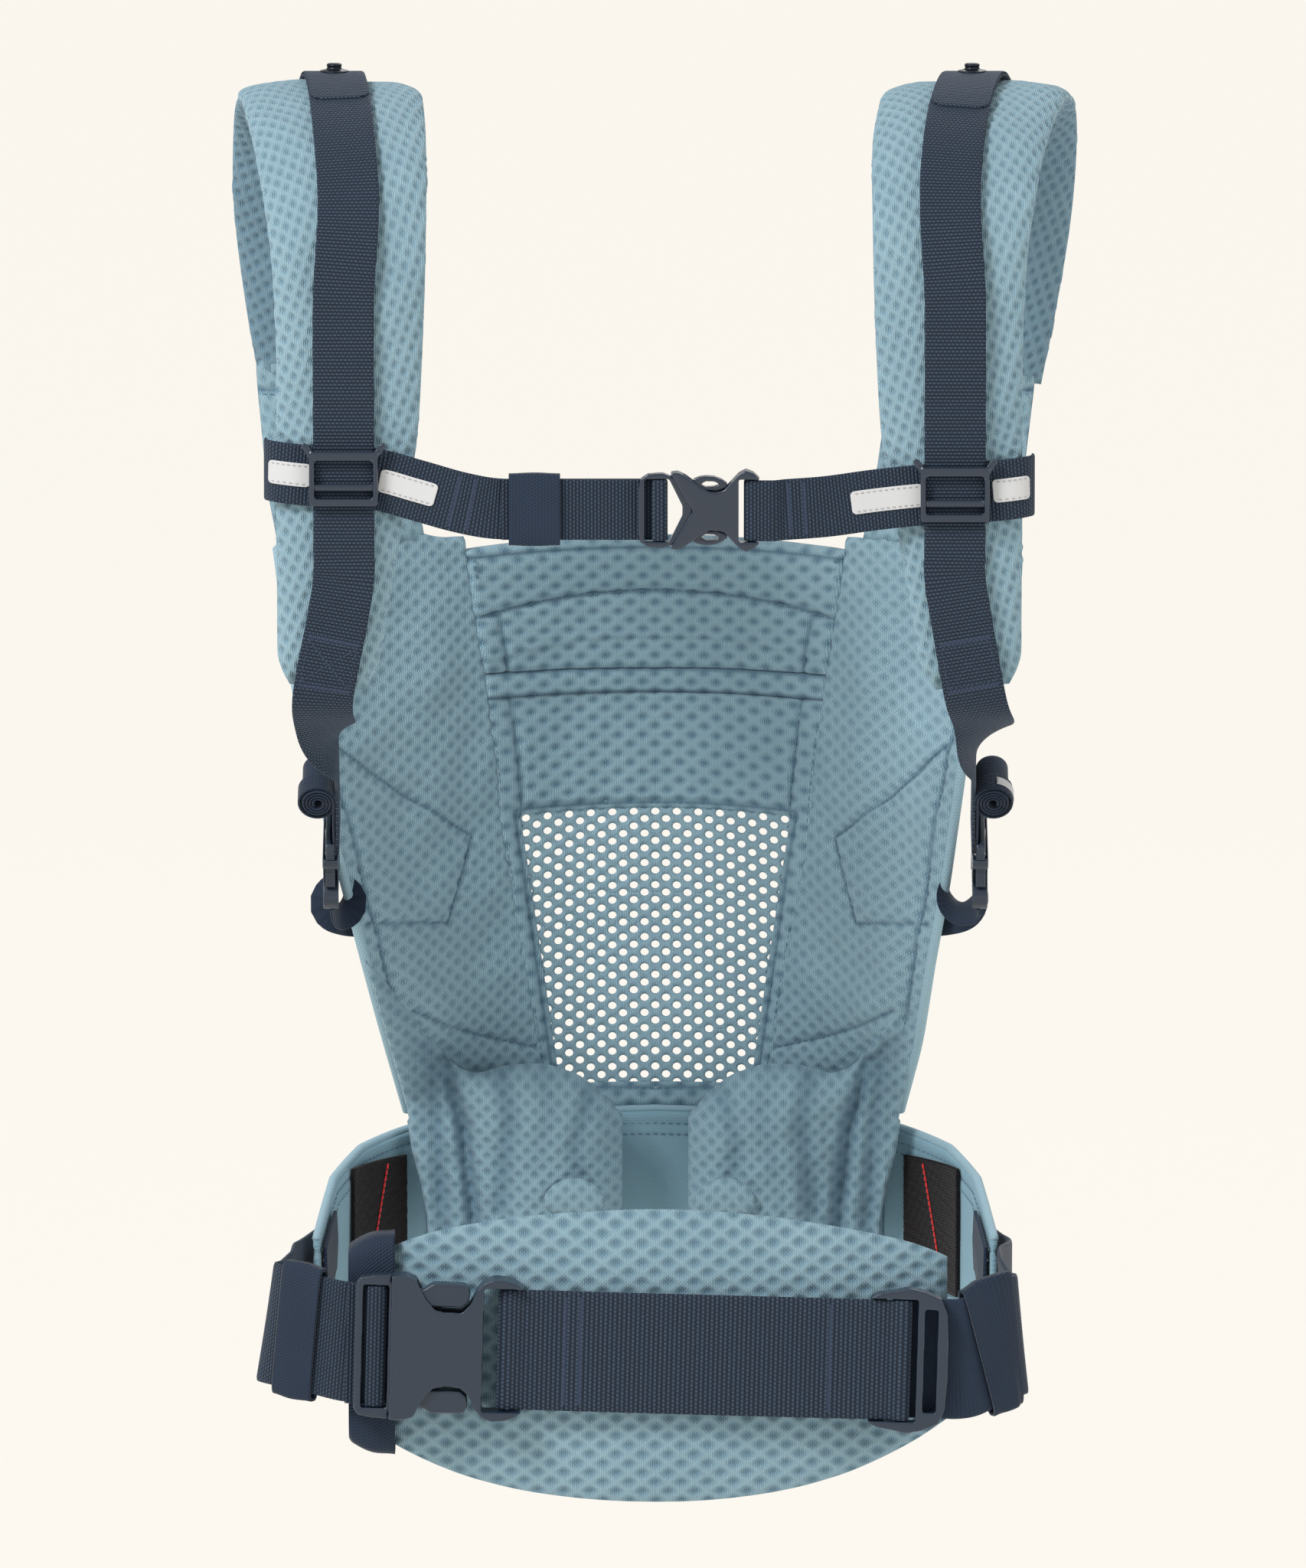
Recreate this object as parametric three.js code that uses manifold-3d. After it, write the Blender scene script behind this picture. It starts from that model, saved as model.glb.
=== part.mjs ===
// Soft baby carrier, worn shape. Millimetres, +Z up, wearer faces +Y, wearer's right is +X.
// Origin: the wearer's waist centre at the height of the lumbar pad's lowest edge.
import * as THREE from "three";
import { mergeVertices } from "three/addons/utils/BufferGeometryUtils.js";
import Module from "manifold-3d";

const wasm = await Module();
wasm.setup();

// ---- driving dimensions ----
const gap = 0.3; // between touching pieces
const sides = { left: -1, right: 1 };

const web = { narrow: 25, wide: 50, thin: 1.4, thick: 1.8 };
const frontShift = -2.5; // the shoulder pads' near runs lie this far off centre

// The body panel: a trough whose section is a parabola at every height.
const panel = { thick: 5, mesh: 1.6, headThick: 9, bottom: 126.4, fold: 309, top: 370 };
const edgeLeft = [[110, 101], [124, 104], [163, 113], [203, 122], [233, 129], [292, 144],
  [321, 151], [359, 156.5], [377, 159], [398, 163], [445, 168]];
const edgeNarrower = [[110, 1], [163, 2], [203, 6], [233, 8], [292, 15], [359, 10], [445, 8]];
const edgeDepth = [[110, 100], [124, 95], [150, 72], [180, 48], [210, 30], [240, 20],
  [290, 18], [330, 32], [370, 52], [400, 62], [445, 69]];
const backDepth = [[110, 110], [126, 113], [150, 124], [200, 138], [250, 142], [300, 138],
  [340, 128], [376, 115], [445, 95]];
const seamHalf = [[110, 45], [133, 48], [149, 51], [191, 58], [245, 67.5], [266, 69],
  [310, 74], [345, 79.5], [372, 82.5]];
const meshWindow = { bottom: 137, top: 252, halfBottom: 41, halfTop: 58 };

const belt = { bottom: 10, tipBottom: 35, thick: 8, wingThick: 5, join: 1.4 };
const beltPlan = [[0, 113], [60, 111.5], [103, 98], [125, 70], [136, 38], [141, 0], [142, -12]];
const beltTop = [[0, 126], [60, 124.5], [103, 120.5], [125, 116], [136, 108], [142, 91]];

const pad = { half: 8.6, front: -97 };
const chest = { z: 410.8, y: -112, mouth: 6 };
const sliderZ = { left: 423.5, right: 417 };
const sliderX = 125; // before the near runs' shift
const waist = { z: 63.7, y: -127, mouth: -109, tilt: 1.6 * Math.PI / 180 };
const adjusterX = 88;
const sideWeb = { thin: 1, width: 24.6 };
const side = { x: 135.5, y: -8, z: 260, scale: 0.5, dive: Math.PI / 3 };

// ---- finishes ----
const finish = (color, roughness, metalness = 0) =>
  () => new THREE.MeshStandardMaterial({ color, roughness, metalness });
const knit = finish(0x96b9c8, 0.95);
const lining = finish(0xa0c3cd, 0.9);
const webbing = finish(0x26374e, 0.8);
const plastic = finish(0x344254, 0.45);
const hookTape = finish(0x1c181c, 1);
const reflective = finish(0xe1e1e1, 0.4);
const darkMetal = finish(0x2a3038, 0.35, 0.6);

const carrier = new THREE.Group();

function add(name, geometry, material, parent = carrier) {
  const mesh = new THREE.Mesh(geometry, material());
  mesh.name = name;
  parent.add(mesh);
  return mesh;
}

// ---- geometry helpers ----
const vec = (x, y, z) => new THREE.Vector3(x, y, z);
const mix = (a, b, t) => a + (b - a) * t;
const smooth = (t) => {
  const c = Math.min(Math.max(t, 0), 1);
  return c * c * (3 - 2 * c);
};

// Straight-line reading of a table of [where, value] rows.
function read(table, at) {
  if (at <= table[0][0]) return table[0][1];
  for (let i = 1; i < table.length; i++) {
    const [a, va] = table[i - 1];
    const [b, vb] = table[i];
    if (at <= b) return mix(va, vb, (at - a) / (b - a));
  }
  return table[table.length - 1][1];
}

function volumeOf(geometry) {
  const p = geometry.attributes.position;
  const index = geometry.index.array;
  const corner = (i) => vec(p.getX(i), p.getY(i), p.getZ(i));
  let sum = 0;
  for (let i = 0; i < index.length; i += 3) {
    const [a, b, c] = [corner(index[i]), corner(index[i + 1]), corner(index[i + 2])];
    sum += a.dot(b.cross(c));
  }
  return sum;
}

// A box of cells whose points are moved by place(u, v, w), each from -1 to 1.
function bent(nu, nv, nw, place) {
  const geometry = new THREE.BoxGeometry(2, 2, 2, nu, nv, nw);
  const p = geometry.attributes.position;
  for (let i = 0; i < p.count; i++) {
    const q = place(p.getX(i), p.getY(i), p.getZ(i));
    p.setXYZ(i, q.x, q.y, q.z);
  }
  if (volumeOf(geometry) < 0) geometry.index.array.reverse();
  return geometry;
}

function solid(geometry) {
  const g = geometry.clone();
  g.deleteAttribute("normal");
  g.deleteAttribute("uv");
  const merged = mergeVertices(g, 1e-4);
  return new wasm.Manifold(new wasm.Mesh({
    numProp: 3,
    vertProperties: merged.attributes.position.array,
    triVerts: new Uint32Array(merged.index.array),
  }));
}

function geometryOf(manifold) {
  const mesh = manifold.getMesh();
  const geometry = new THREE.BufferGeometry();
  geometry.setAttribute("position", new THREE.BufferAttribute(mesh.vertProperties, 3));
  geometry.setIndex(new THREE.BufferAttribute(mesh.triVerts, 1));
  geometry.computeVertexNormals();
  return geometry;
}

const join = (...parts) => geometryOf(parts.map(solid).reduce((a, b) => a.add(b)));
const cut = (body, ...tools) =>
  geometryOf(tools.map(solid).reduce((a, b) => a.subtract(b), solid(body)));

const block = (x0, x1, y0, y1, z0, z1) =>
  new THREE.BoxGeometry(x1 - x0, y1 - y0, z1 - z0)
    .translate((x0 + x1) / 2, (y0 + y1) / 2, (z0 + z1) / 2);

// A shape drawn in X and Z, extruded along Y from y0 to y1.
function plate(shape, y0, y1, curveSegments = 4) {
  const options = { depth: y1 - y0, bevelEnabled: false, curveSegments };
  const geometry = new THREE.ExtrudeGeometry(shape, options);
  return geometry.rotateX(Math.PI / 2).translate(0, y1, 0);
}

// A shape drawn in X and Y, extruded along Z from z0 to z1.
const column = (shape, z0, z1, curveSegments = 4) =>
  new THREE.ExtrudeGeometry(shape, { depth: z1 - z0, bevelEnabled: false, curveSegments })
    .translate(0, 0, z0);

// A shape drawn in Y and Z, extruded along X from 0.
const alongX = (shape, depth, curveSegments = 4) => column(shape, 0, depth, curveSegments)
  .applyMatrix4(new THREE.Matrix4().makeBasis(vec(0, 1, 0), vec(0, 0, 1), vec(1, 0, 0)));

function outline(points) {
  const corners = points.map(([x, z]) => new THREE.Vector2(x, z));
  if (THREE.ShapeUtils.isClockWise(corners)) corners.reverse();
  return new THREE.Shape(corners);
}

// Points given for the upper half, repeated mirrored below.
const mirrored = (points) => outline([...points, ...points.map(([x, z]) => [x, -z]).reverse()]);

function roundedBox(x0, x1, z0, z1, r, kind = THREE.Shape) {
  const shape = new kind();
  shape.moveTo(x0 + r, z0);
  shape.lineTo(x1 - r, z0);
  shape.quadraticCurveTo(x1, z0, x1, z0 + r);
  shape.lineTo(x1, z1 - r);
  shape.quadraticCurveTo(x1, z1, x1 - r, z1);
  shape.lineTo(x0 + r, z1);
  shape.quadraticCurveTo(x0, z1, x0, z1 - r);
  shape.lineTo(x0, z0 + r);
  shape.quadraticCurveTo(x0, z0, x0 + r, z0);
  return shape;
}

// A strap along a smooth path: across(t) gives its width direction.
function strap({ points, across, width, thick, steps, from = 0, to = 1, columns = 2 }) {
  const curve = new THREE.CatmullRomCurve3(points, false, "centripetal");
  return bent(steps, columns, 1, (u, v, w) => {
    const t = mix(from, to, (u + 1) / 2);
    const run = curve.getTangentAt(t);
    const width0 = across(t).clone();
    const wide = width0.addScaledVector(run, -width0.dot(run)).normalize();
    const out = run.clone().cross(wide);
    const point = curve.getPointAt(t);
    const halfWidth = typeof width === "function" ? width(t) / 2 : width / 2;
    const halfThick = typeof thick === "function" ? thick(t, v) / 2 : thick / 2;
    return point.addScaledVector(wide, v * halfWidth).addScaledVector(out, w * halfThick);
  });
}

// ---- the body panel's surface ----
function edgeX(s, z) {
  return read(edgeLeft, z) - (s > 0 ? read(edgeNarrower, z) : 0);
}

function panelPoint(x, z) {
  const edge = edgeX(Math.sign(x), z);
  const ye = read(edgeDepth, z);
  const across = x / edge;
  return vec(x, ye + (read(backDepth, z) - ye) * (1 - across * across), z);
}

function panelNormal(x, z) {
  const dx = panelPoint(x + 0.5, z).sub(panelPoint(x - 0.5, z));
  const dz = panelPoint(x, z + 3).sub(panelPoint(x, z - 3));
  return dz.cross(dx).normalize(); // away from the wearer
}

// A piece of the panel: limits(z) gives its X limits, and bottom(x) and top(x) its Z limits.
// Its thickness falls away towards the outer edge by the share taper.
function panelPiece({ nx, nz, thick, limits, bottom, top, taper = 0 }) {
  return bent(nx, nz, 1, (u, v, w) => {
    const a = (u + 1) / 2;
    const near = mix(...limits(mix(panel.bottom, panel.top, (v + 1) / 2)), a);
    const z = mix(bottom(near), top(near), (v + 1) / 2);
    const x = mix(...limits(z), a);
    const half = thick / 2 * (1 - taper * Math.max(u, 0) ** 6);
    return panelPoint(x, z).addScaledVector(panelNormal(x, z), w * half);
  });
}

const beltTopAt = (x) => read(beltTop, Math.abs(x));
const panelBottom = (x) => beltTopAt(x) + belt.join;

function bodyPanel() {
  const seam = (z) => read(seamHalf, z);
  const flat = (value) => () => value;
  const windowHalf = (z) => mix(meshWindow.halfBottom, meshWindow.halfTop,
    (z - meshWindow.bottom) / (meshWindow.top - meshWindow.bottom));
  const whole = panelPiece({ nx: 8, nz: 10, thick: panel.thick,
    limits: (z) => [-seam(z), seam(z)], bottom: panelBottom, top: flat(panel.fold - 1) });
  const opening = panelPiece({ nx: 8, nz: 5, thick: panel.thick * 4,
    limits: (z) => [-windowHalf(z), windowHalf(z)],
    bottom: flat(meshWindow.bottom), top: flat(meshWindow.top) });
  add("centre_panel", cut(whole, opening), knit);
  add("mesh_window", panelPiece({ nx: 8, nz: 5, thick: panel.mesh,
    limits: (z) => [-windowHalf(z) + 3 * gap, windowHalf(z) - 3 * gap],
    bottom: flat(meshWindow.bottom + 2 * gap), top: flat(meshWindow.top - 2 * gap) }), knit);
  add("head_support", panelPiece({ nx: 8, nz: 3, thick: panel.headThick,
    limits: (z) => [-seam(z) + 1, seam(z) - 1],
    bottom: flat(panel.fold + 1.5), top: (x) => panel.top + 2 - 4 * (x / 82) ** 2 }), knit);
  for (const [name, s] of Object.entries(sides)) {
    const shoulderLine = (x) => panel.top - 1 + 9 * smooth((Math.abs(x) - 88) / 25);
    add(`side_panel_${name}`, panelPiece({ nx: 5, nz: 10, thick: panel.thick, taper: 0.6,
      limits: (z) => [s * (seam(z) + 3 * gap), s * edgeX(s, z)],
      bottom: panelBottom, top: shoulderLine }), knit);
  }
}

// ---- waist belt ----
const beltCurve = (s) => new THREE.CatmullRomCurve3(
  beltPlan.map(([x, y]) => vec(s * x, y, 0)), false, "centripetal");

function beltPart(s, from, to, steps, thick, inset = 0, low = null, high = null) {
  const curve = beltCurve(s);
  return bent(steps, 1, 1, (u, v, w) => {
    const t = mix(from, to, (u + 1) / 2);
    const point = curve.getPointAt(t);
    const run = curve.getTangentAt(t);
    const out = vec(run.y, -run.x, 0).multiplyScalar(-s); // away from the wearer
    const z0 = low ?? mix(belt.bottom, belt.tipBottom, smooth((t - 0.45) / 0.55));
    const z1 = high ?? beltTopAt(point.x);
    const half = thick / 2 * (1 - 0.35 * smooth((t - 0.5) * 2));
    return point.setZ(mix(z0, z1, (v + 1) / 2)).addScaledVector(out, w * half - inset);
  });
}

const wingStart = 0.44; // share of the half belt that is the centre piece

function waistBelt() {
  const half = (s) => beltPart(s, 0, wingStart, 6, belt.thick);
  add("waist_belt", join(half(-1), half(1)), lining);
  for (const [name, s] of Object.entries(sides)) {
    add(`waist_wing_${name}`, beltPart(s, wingStart + 0.002, 1, 9, belt.wingThick), lining);
    const inset = belt.wingThick / 2 + 0.8 + gap;
    add(`hook_strip_${name}`, beltPart(s, 0.5, 0.7, 4, 1.6, inset, 55, 110), hookTape);
  }
}

function thighPads() {
  for (const [name, s] of Object.entries(sides)) {
    const centre = vec(s * 45 + frontShift, 82, 117);
    const radius = vec(31, 22, 25);
    add(`thigh_pad_${name}`, bent(4, 4, 4, (u, v, w) => {
      const length = Math.hypot(u, v, w);
      const reach = Math.max(Math.abs(u), Math.abs(v), Math.abs(w));
      const round = mix(1, reach / length, 0.75);
      return vec(u, v, w).multiplyScalar(round).multiply(radius).add(centre);
    }), knit);
  }
}

// ---- shoulder straps ----
const padRun = [
  [132.75, pad.front, 336, 41], [128.5, pad.front, 388, 50], [126.5, pad.front, 412, 54],
  [124, pad.front, 440, 59], [122.75, pad.front, 485, 61.5], [123.5, -92, 522, 65],
  [127, -66, 556, 72], [133, -24, 571, 76], [139, 18, 559, 74], [142.5, 44, 522, 69],
  [139.5, 60, 475, 65], [136, 68, 446, 62],
];

function padPath(s) {
  const points = padRun.map(([x, y, z]) => {
    const shift = y < 0 ? frontShift * Math.min(1, -y / 60) : 0;
    const narrower = s > 0 ? 4 * smooth((y - 20) / 50) : 0;
    return vec(s * (x - narrower) + shift, y, z);
  });
  return new THREE.CatmullRomCurve3(points, false, "centripetal");
}

// Width along the pad by the curve's own parameter, which passes the run's rows evenly.
function padWidth(t) {
  const place = t * (padRun.length - 1);
  return read(padRun.map((row, i) => [i, row[3]]), place);
}

function padFrame(curve, t) {
  const point = curve.getPoint(t);
  const run = curve.getTangent(t);
  const across = vec(1, 0, 0).addScaledVector(run, -run.x).normalize();
  const out = run.clone().cross(across).negate(); // away from the shoulder
  return { point, across, out };
}

function shoulderPad(name, s) {
  const curve = padPath(s);
  add(`shoulder_pad_${name}`, bent(18, 6, 1, (u, v, w) => {
    const t = (u + 1) / 2;
    const { point, across, out } = padFrame(curve, t);
    const crown = Math.sqrt(1 - 0.99 * v ** 4);
    const ends = Math.sqrt(1 - 0.9 * smooth((0.06 - t) / 0.06) ** 2);
    const shorter = 1 - 0.25 * smooth((0.07 - t) / 0.07);
    const half = pad.half * crown * ends;
    return point.addScaledVector(across, v * padWidth(t) / 2 * shorter).addScaledVector(out, w * half);
  }), knit);
}

function strapAnchor(name, s) {
  const top = padFrame(padPath(s), 1);
  add(`strap_anchor_${name}`, bent(3, 5, 1, (u, v, w) => {
    const down = (u + 1) / 2;
    const z = mix(379.5, 441, 1 - down);
    const edge = edgeX(s, z);
    const width = mix(60, 61, down);
    const x = s * (edge - width / 2 - v * width / 2);
    const y = mix(top.point.y - 0.4, read(edgeDepth, z) + 14, smooth(down * 1.3));
    const crown = Math.sqrt(1 - 0.97 * v ** 4);
    return vec(x, y + w * 7 * crown * mix(1, 0.5, down), z);
  }), knit);
}

const sideRun = vec(0, Math.cos(side.dive), -Math.sin(side.dive));
const sideMouth = (s) => vec(s * side.x, side.y, side.z);

// The web lies on the pad from the top of the shoulder to the pad's lower end,
// then turns edge on and runs back and down to the side buckle.
function shoulderWeb(name, s) {
  const curve = padPath(s);
  const lift = pad.half + 2.75;
  const straightX = s * sliderX + frontShift;
  const points = [];
  const widths = [];
  const last = 0.7;
  for (let i = 0; i <= 22; i++) {
    const t = mix(last, 0.05, i / 22);
    const { point, across, out } = padFrame(curve, t);
    const onPad = point.clone().addScaledVector(out, lift - 1.6 * smooth((t - 0.42) / 0.1));
    const low = smooth((385 - onPad.z) / 45);
    const straight = s * 6.8 * low + straightX;
    const wander = smooth((onPad.z - 492) / 60);
    onPad.x = mix(straight, point.x - across.x * s * 1.5, wander);
    points.push(onPad);
    widths.push(vec(1, 0, 0).lerp(across, wander));
  }
  const behind = behindLadder(side.scale, sideWeb.thin, web.thin);
  const lineEnd = sideMouth(s).addScaledVector(vec(-s, 0, 0), behind);
  const beyond = [
    vec(s * 134 + frontShift, -104, 331), vec(s * 135.5, -86, 317), vec(lineEnd.x, -56, 304),
    lineEnd.clone().addScaledVector(sideRun, -38), lineEnd.clone().addScaledVector(sideRun, -20),
    lineEnd.clone().addScaledVector(sideRun, -1.5),
  ];
  points.push(...beyond);
  const turned = sideRun.clone().cross(vec(-s, 0, 0));
  const count = points.length - 1;
  const path = new THREE.CatmullRomCurve3(points, false, "centripetal");
  const geometry = strap({
    points, width: web.narrow, thick: web.thin, steps: 42, columns: 1,
    across: (t) => {
      const place = path.getPointAt(t);
      const turn = place.y < 0 && place.z < 340 ? smooth((place.y + 100) / 52) : 0;
      const flat = widths[Math.min(Math.round(t * count), widths.length - 1)];
      return flat.clone().multiplyScalar(s).multiplyScalar(Math.cos(turn * Math.PI / 2))
        .addScaledVector(turned, Math.sin(turn * Math.PI / 2));
    },
  });
  add(`shoulder_web_${name}`, geometry, webbing);
  const top = points.reduce((a, b) => (b.z > a.z ? b : a));
  snapStud(name, top);
}

function snapStud(name, top) {
  const rise = web.thin / 2 + gap + 0.1;
  const profile = [[0, 0], [6, 0], [6, 1], [3.4, 1.6], [2.9, 2.4], [3.3, 3.4], [2.6, 4], [0, 4]];
  const stud = new THREE.LatheGeometry(profile.map(([r, z]) => new THREE.Vector2(r, z)), 20)
    .rotateX(Math.PI / 2);
  stud.translate(top.x, top.y, top.z + rise);
  add(`snap_stud_${name}`, stud, darkMetal);
}

// ---- side release buckles, in a frame of their own ----
// X runs from the ladder into the socket, Z across the web, Y through the thickness.
const buckle = {
  thick: 6.5, cavity: 5, cavityHalf: 27.2, depth: 33.5,
  rail: 14.3, railBar: 2.6, bar: { centre: -6.5, halfX: 2.5, halfY: 1.6 },
  socketBar: { centre: 48.5, halfX: 2.5, halfY: 1.6 }, ladder: 3.6,
};

// Where a web's middle runs when it passes behind the ladder and the loop on its bar.
const behindLadder = (k, loop, thick) =>
  Math.max(buckle.ladder * k, buckle.bar.halfY * k + gap + loop) + gap + thick / 2;

function socketGeometry(k) {
  const b = buckle;
  const edge = [[0, 30], [6, 30], [10, 28.5], [14, 21], [18, 16.5], [22, 15.5], [29, 15.5],
    [32.5, 19], [35, 24.5], [38, 28], [42, 29.6], [47, 29.4], [52, 27.5], [54.5, 25.6], [51, 25]];
  const body = plate(mirrored(edge.map(([x, z]) => [x * k, z * k])), -b.thick * k, b.thick * k);
  const inside = b.cavity * k;
  const room = block(-1, b.depth * k, -inside, inside, -b.cavityHalf * k, b.cavityHalf * k);
  const slot = block(38 * k, 46 * k, -20, 20, -25.7 * k, 25.7 * k);
  const half = b.socketBar.halfY * k;
  const front = block(43 * k, 60 * k, -20, -half, -25.7 * k, 25.7 * k);
  const back = block(43 * k, 60 * k, half, 20, -25.7 * k, 25.7 * k);
  return cut(body, room, slot, front, back);
}

function ladderGeometry(k) {
  const b = buckle;
  const rails = plate(mirrored([[-b.rail, 26], [-12.5, 28.6], [-7, 29.6], [0, 30]]
    .map(([x, z]) => [x * k - gap, z * k])), -b.ladder * k, b.ladder * k);
  const reach = b.bar.centre + b.bar.halfX;
  const windows = [
    block((-b.rail + b.railBar) * k, (b.bar.centre - b.bar.halfX) * k, -9, 9, -25.6 * k, 25.6 * k),
    block(reach * k, -1 * k, -9, 9, -25.6 * k, 25.6 * k),
  ];
  const passage = block(-b.rail * k - 1, (b.bar.centre - b.bar.halfX + 0.1) * k, 0.7 * k, 9,
    -25.6 * k, 25.6 * k);
  const barFront = block((b.bar.centre - b.bar.halfX - 0.1) * k, (reach + 0.1) * k, -9,
    -b.bar.halfY * k, -25.6 * k, 25.6 * k);
  const barBack = block((b.bar.centre - b.bar.halfX - 0.1) * k, (reach + 0.1) * k,
    b.bar.halfY * k, 9, -25.6 * k, 25.6 * k);
  const ladder = cut(rails, ...windows, passage, barFront, barBack);
  const inside = b.cavity * k - gap;
  const deep = Math.min(inside, b.ladder * k);
  const root = block(-1 * k, 2.6 * k, -deep, deep, -b.cavityHalf * k + gap, b.cavityHalf * k - gap);
  const tongue = block(2 * k, 26 * k, -2 * k, 2 * k, -6 * k, 6 * k);
  return join(ladder, root, tongue);
}

function prongGeometry(k, way) {
  const b = buckle;
  const high = b.cavityHalf - gap / k;
  const shape = outline([[2.6 + gap / k, 20], [13, 19.5], [15, 17.5], [29, 17.5], [31.8, 20],
    [32.4, 23], [31, high - 0.5], [28, high], [17, high], [14, high - 2], [12.5, 24],
    [2.6 + gap / k, 24]].map(([x, z]) => [x * k, way * z * k]));
  const inside = b.cavity * k - gap;
  return plate(shape, -inside, Math.min(inside, b.ladder * k)); // clears the web behind it
}

// A web's loop round a bar, seen along the bar.
function loopShape(centreX, halfX, halfY, thick) {
  const inX = halfX + gap;
  const inY = halfY + gap;
  const ring = roundedBox(centreX - inX - thick, centreX + inX + thick,
    -inY - thick, inY + thick, 1.6);
  ring.holes.push(roundedBox(centreX - inX, centreX + inX, -inY, inY, 0.3, THREE.Path));
  return ring;
}

// The loop with the straight leg of web that leaves it: leg is [x0, x1, y0, y1].
function webLoop(k, bar, thick, width, leg) {
  const ring = loopShape(bar.centre * k, bar.halfX * k, bar.halfY * k, thick);
  return join(column(ring, -width / 2, width / 2), block(...leg, -width / 2, width / 2));
}

// ---- waist front ----
function waistFront() {
  const front = new THREE.Group();
  front.position.set(0, waist.y, waist.z);
  front.rotation.y = waist.tilt;
  carrier.add(front);
  const at = waist.mouth;
  add("waist_buckle_socket", socketGeometry(1).translate(at, 0, 0), plastic, front);
  add("waist_buckle_ladder", ladderGeometry(1).translate(at, 0, 0), plastic, front);
  add("waist_prong_upper", prongGeometry(1, 1).translate(at, 0, 0), plastic, front);
  add("waist_prong_lower", prongGeometry(1, -1).translate(at, 0, 0), plastic, front);
  const back = buckle.bar.halfY + gap;
  const loop = webLoop(1, buckle.bar, web.thick, web.wide,
    [-buckle.rail - 4, buckle.bar.centre - 1, back, back + web.thick]);
  add("waist_strap_loop", loop.translate(at, 0, 0), webbing, front);
  add("waist_adjuster", adjusterGeometry(), plastic, front);
  add("waist_web_front", frontWebGeometry(at), webbing, front);
}

const adjuster = { thick: 3.6, barX: 100.5, slot: [110.4, 115.8] };

function adjusterGeometry() {
  const a = adjuster;
  const edge = [[adjusterX, 26.2], [adjusterX + 4, 28], [98, 29], [104, 30.2], [110, 29], [117, 26],
    [119.5, 20], [120.3, 8]];
  const frame = plate(mirrored(edge), -a.thick, a.thick);
  const window = block(94.5, 107.5, -9, 9, -25.6, 25.6);
  const slot = block(...a.slot, -9, 9, -21.5, 21.5);
  const overLeftBar = block(adjusterX - 1, 95, -9, 0.6, -25.6, 25.6);
  const passage = block(adjusterX - 1, 95, 2.9, 9, -25.6, 25.6);
  const bar = block(a.barX - 2.5, a.barX + 2.5, -1.6, 1.6, -26, 26);
  return join(cut(frame, window, slot, overLeftBar, passage), bar);
}

function frontWebGeometry(at) {
  const socket = buckle.socketBar;
  const half = web.wide / 2;
  const left = loopShape(at + socket.centre, socket.halfX, socket.halfY, web.thick);
  const right = loopShape(adjuster.barX, 2.5, 1.6, web.thick);
  const run = [at + socket.centre + 3.4, adjuster.barX - 3.4];
  return join(column(left, -half, half), column(right, -half, half),
    block(...run, -2.1, -0.3, -half, half));
}

// The belt's own webs: from the wing's outer face round the corner to the buckle.
function waistWebs() {
  const dy = behindLadder(1, web.thick, web.thick);
  const corner = { left: { x: 160, z: 71 }, right: { x: 150.5, z: 67 } };
  for (const [name, s] of Object.entries(sides)) {
    const c = corner[name];
    const end = s < 0 ? -waist.mouth + 1 : 97;
    const tiltZ = (x) => waist.z - Math.tan(waist.tilt) * s * x;
    const turnIn = 127;
    const depth = waist.y + dy;
    const cornerY = depth + (c.x - 4 - turnIn) * 0.66;
    const line = (f) => vec(s * mix(turnIn, c.x - 4, f), mix(depth, cornerY, f),
      mix(tiltZ(turnIn), c.z, f));
    const points = [
      vec(s * end, depth, tiltZ(end)), vec(s * 118, depth, tiltZ(118)),
      vec(s * 124.5, depth + 0.2, tiltZ(124.5)), line(0.12), line(0.5), line(0.9),
      vec(s * c.x, cornerY + 7, c.z), vec(s * (c.x - 1.5), cornerY + 20, c.z - 1),
      vec(s * (c.x - 6), -50, 69), vec(s * 148.5, -12, 66), vec(s * 145.5, 14, 64),
      vec(s * 143.5, 30, 63),
    ];
    const lean = s < 0 ? 0.16 : 0.1;
    const leaning = (t) => smooth((t - 0.15) / 0.2) * (1 - smooth((t - 0.5) / 0.2));
    const across = (t) => vec(-s * lean * leaning(t), 0, 1);
    add(`waist_web_${name}`, strap({ points, width: web.wide, thick: web.thick, steps: 30,
      columns: 1, across }), webbing);
    keeperRing(name, { points, across, columns: 1 }, s);
    webGusset(name, s);
  }
}

// An elastic loop round the waist web's slanting stretch, wrapped on the web's own path.
function keeperRing(name, run, s) {
  const along = s < 0 ? [0.165, 0.265] : [0.185, 0.285];
  const outer = strap({ ...run, width: web.wide + 7, thick: web.thick + 5, steps: 5,
    from: along[0], to: along[1] });
  const inner = strap({ ...run, width: web.wide + 4, thick: web.thick + 2.6, steps: 7,
    from: along[0] - 0.02, to: along[1] + 0.02 });
  add(`waist_keeper_${name}`, cut(outer, inner), webbing);
}

// The folded triangle of web that closes the wing's tip on the inside.
function webGusset(name, s) {
  const curve = beltCurve(s);
  add(`wing_gusset_${name}`, bent(4, 3, 1, (u, v, w) => {
    const t = mix(0.83, 0.985, (u + 1) / 2);
    const point = curve.getPointAt(t);
    const run = curve.getTangentAt(t);
    const out = vec(run.y, -run.x, 0).multiplyScalar(-s);
    const apex = mix(72, 40, smooth((u + 1) / 2));
    const high = mix(97, 87, (u + 1) / 2);
    return point.setZ(mix(apex, high, (v + 1) / 2)).addScaledVector(out, w * 0.7 - 3.4);
  }), webbing);
}

// ---- lumbar pad ----
const lumbar = { half: 121, crown: -123.2, curve: 3.3 / 57 ** 2, thick: 15 };

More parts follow.
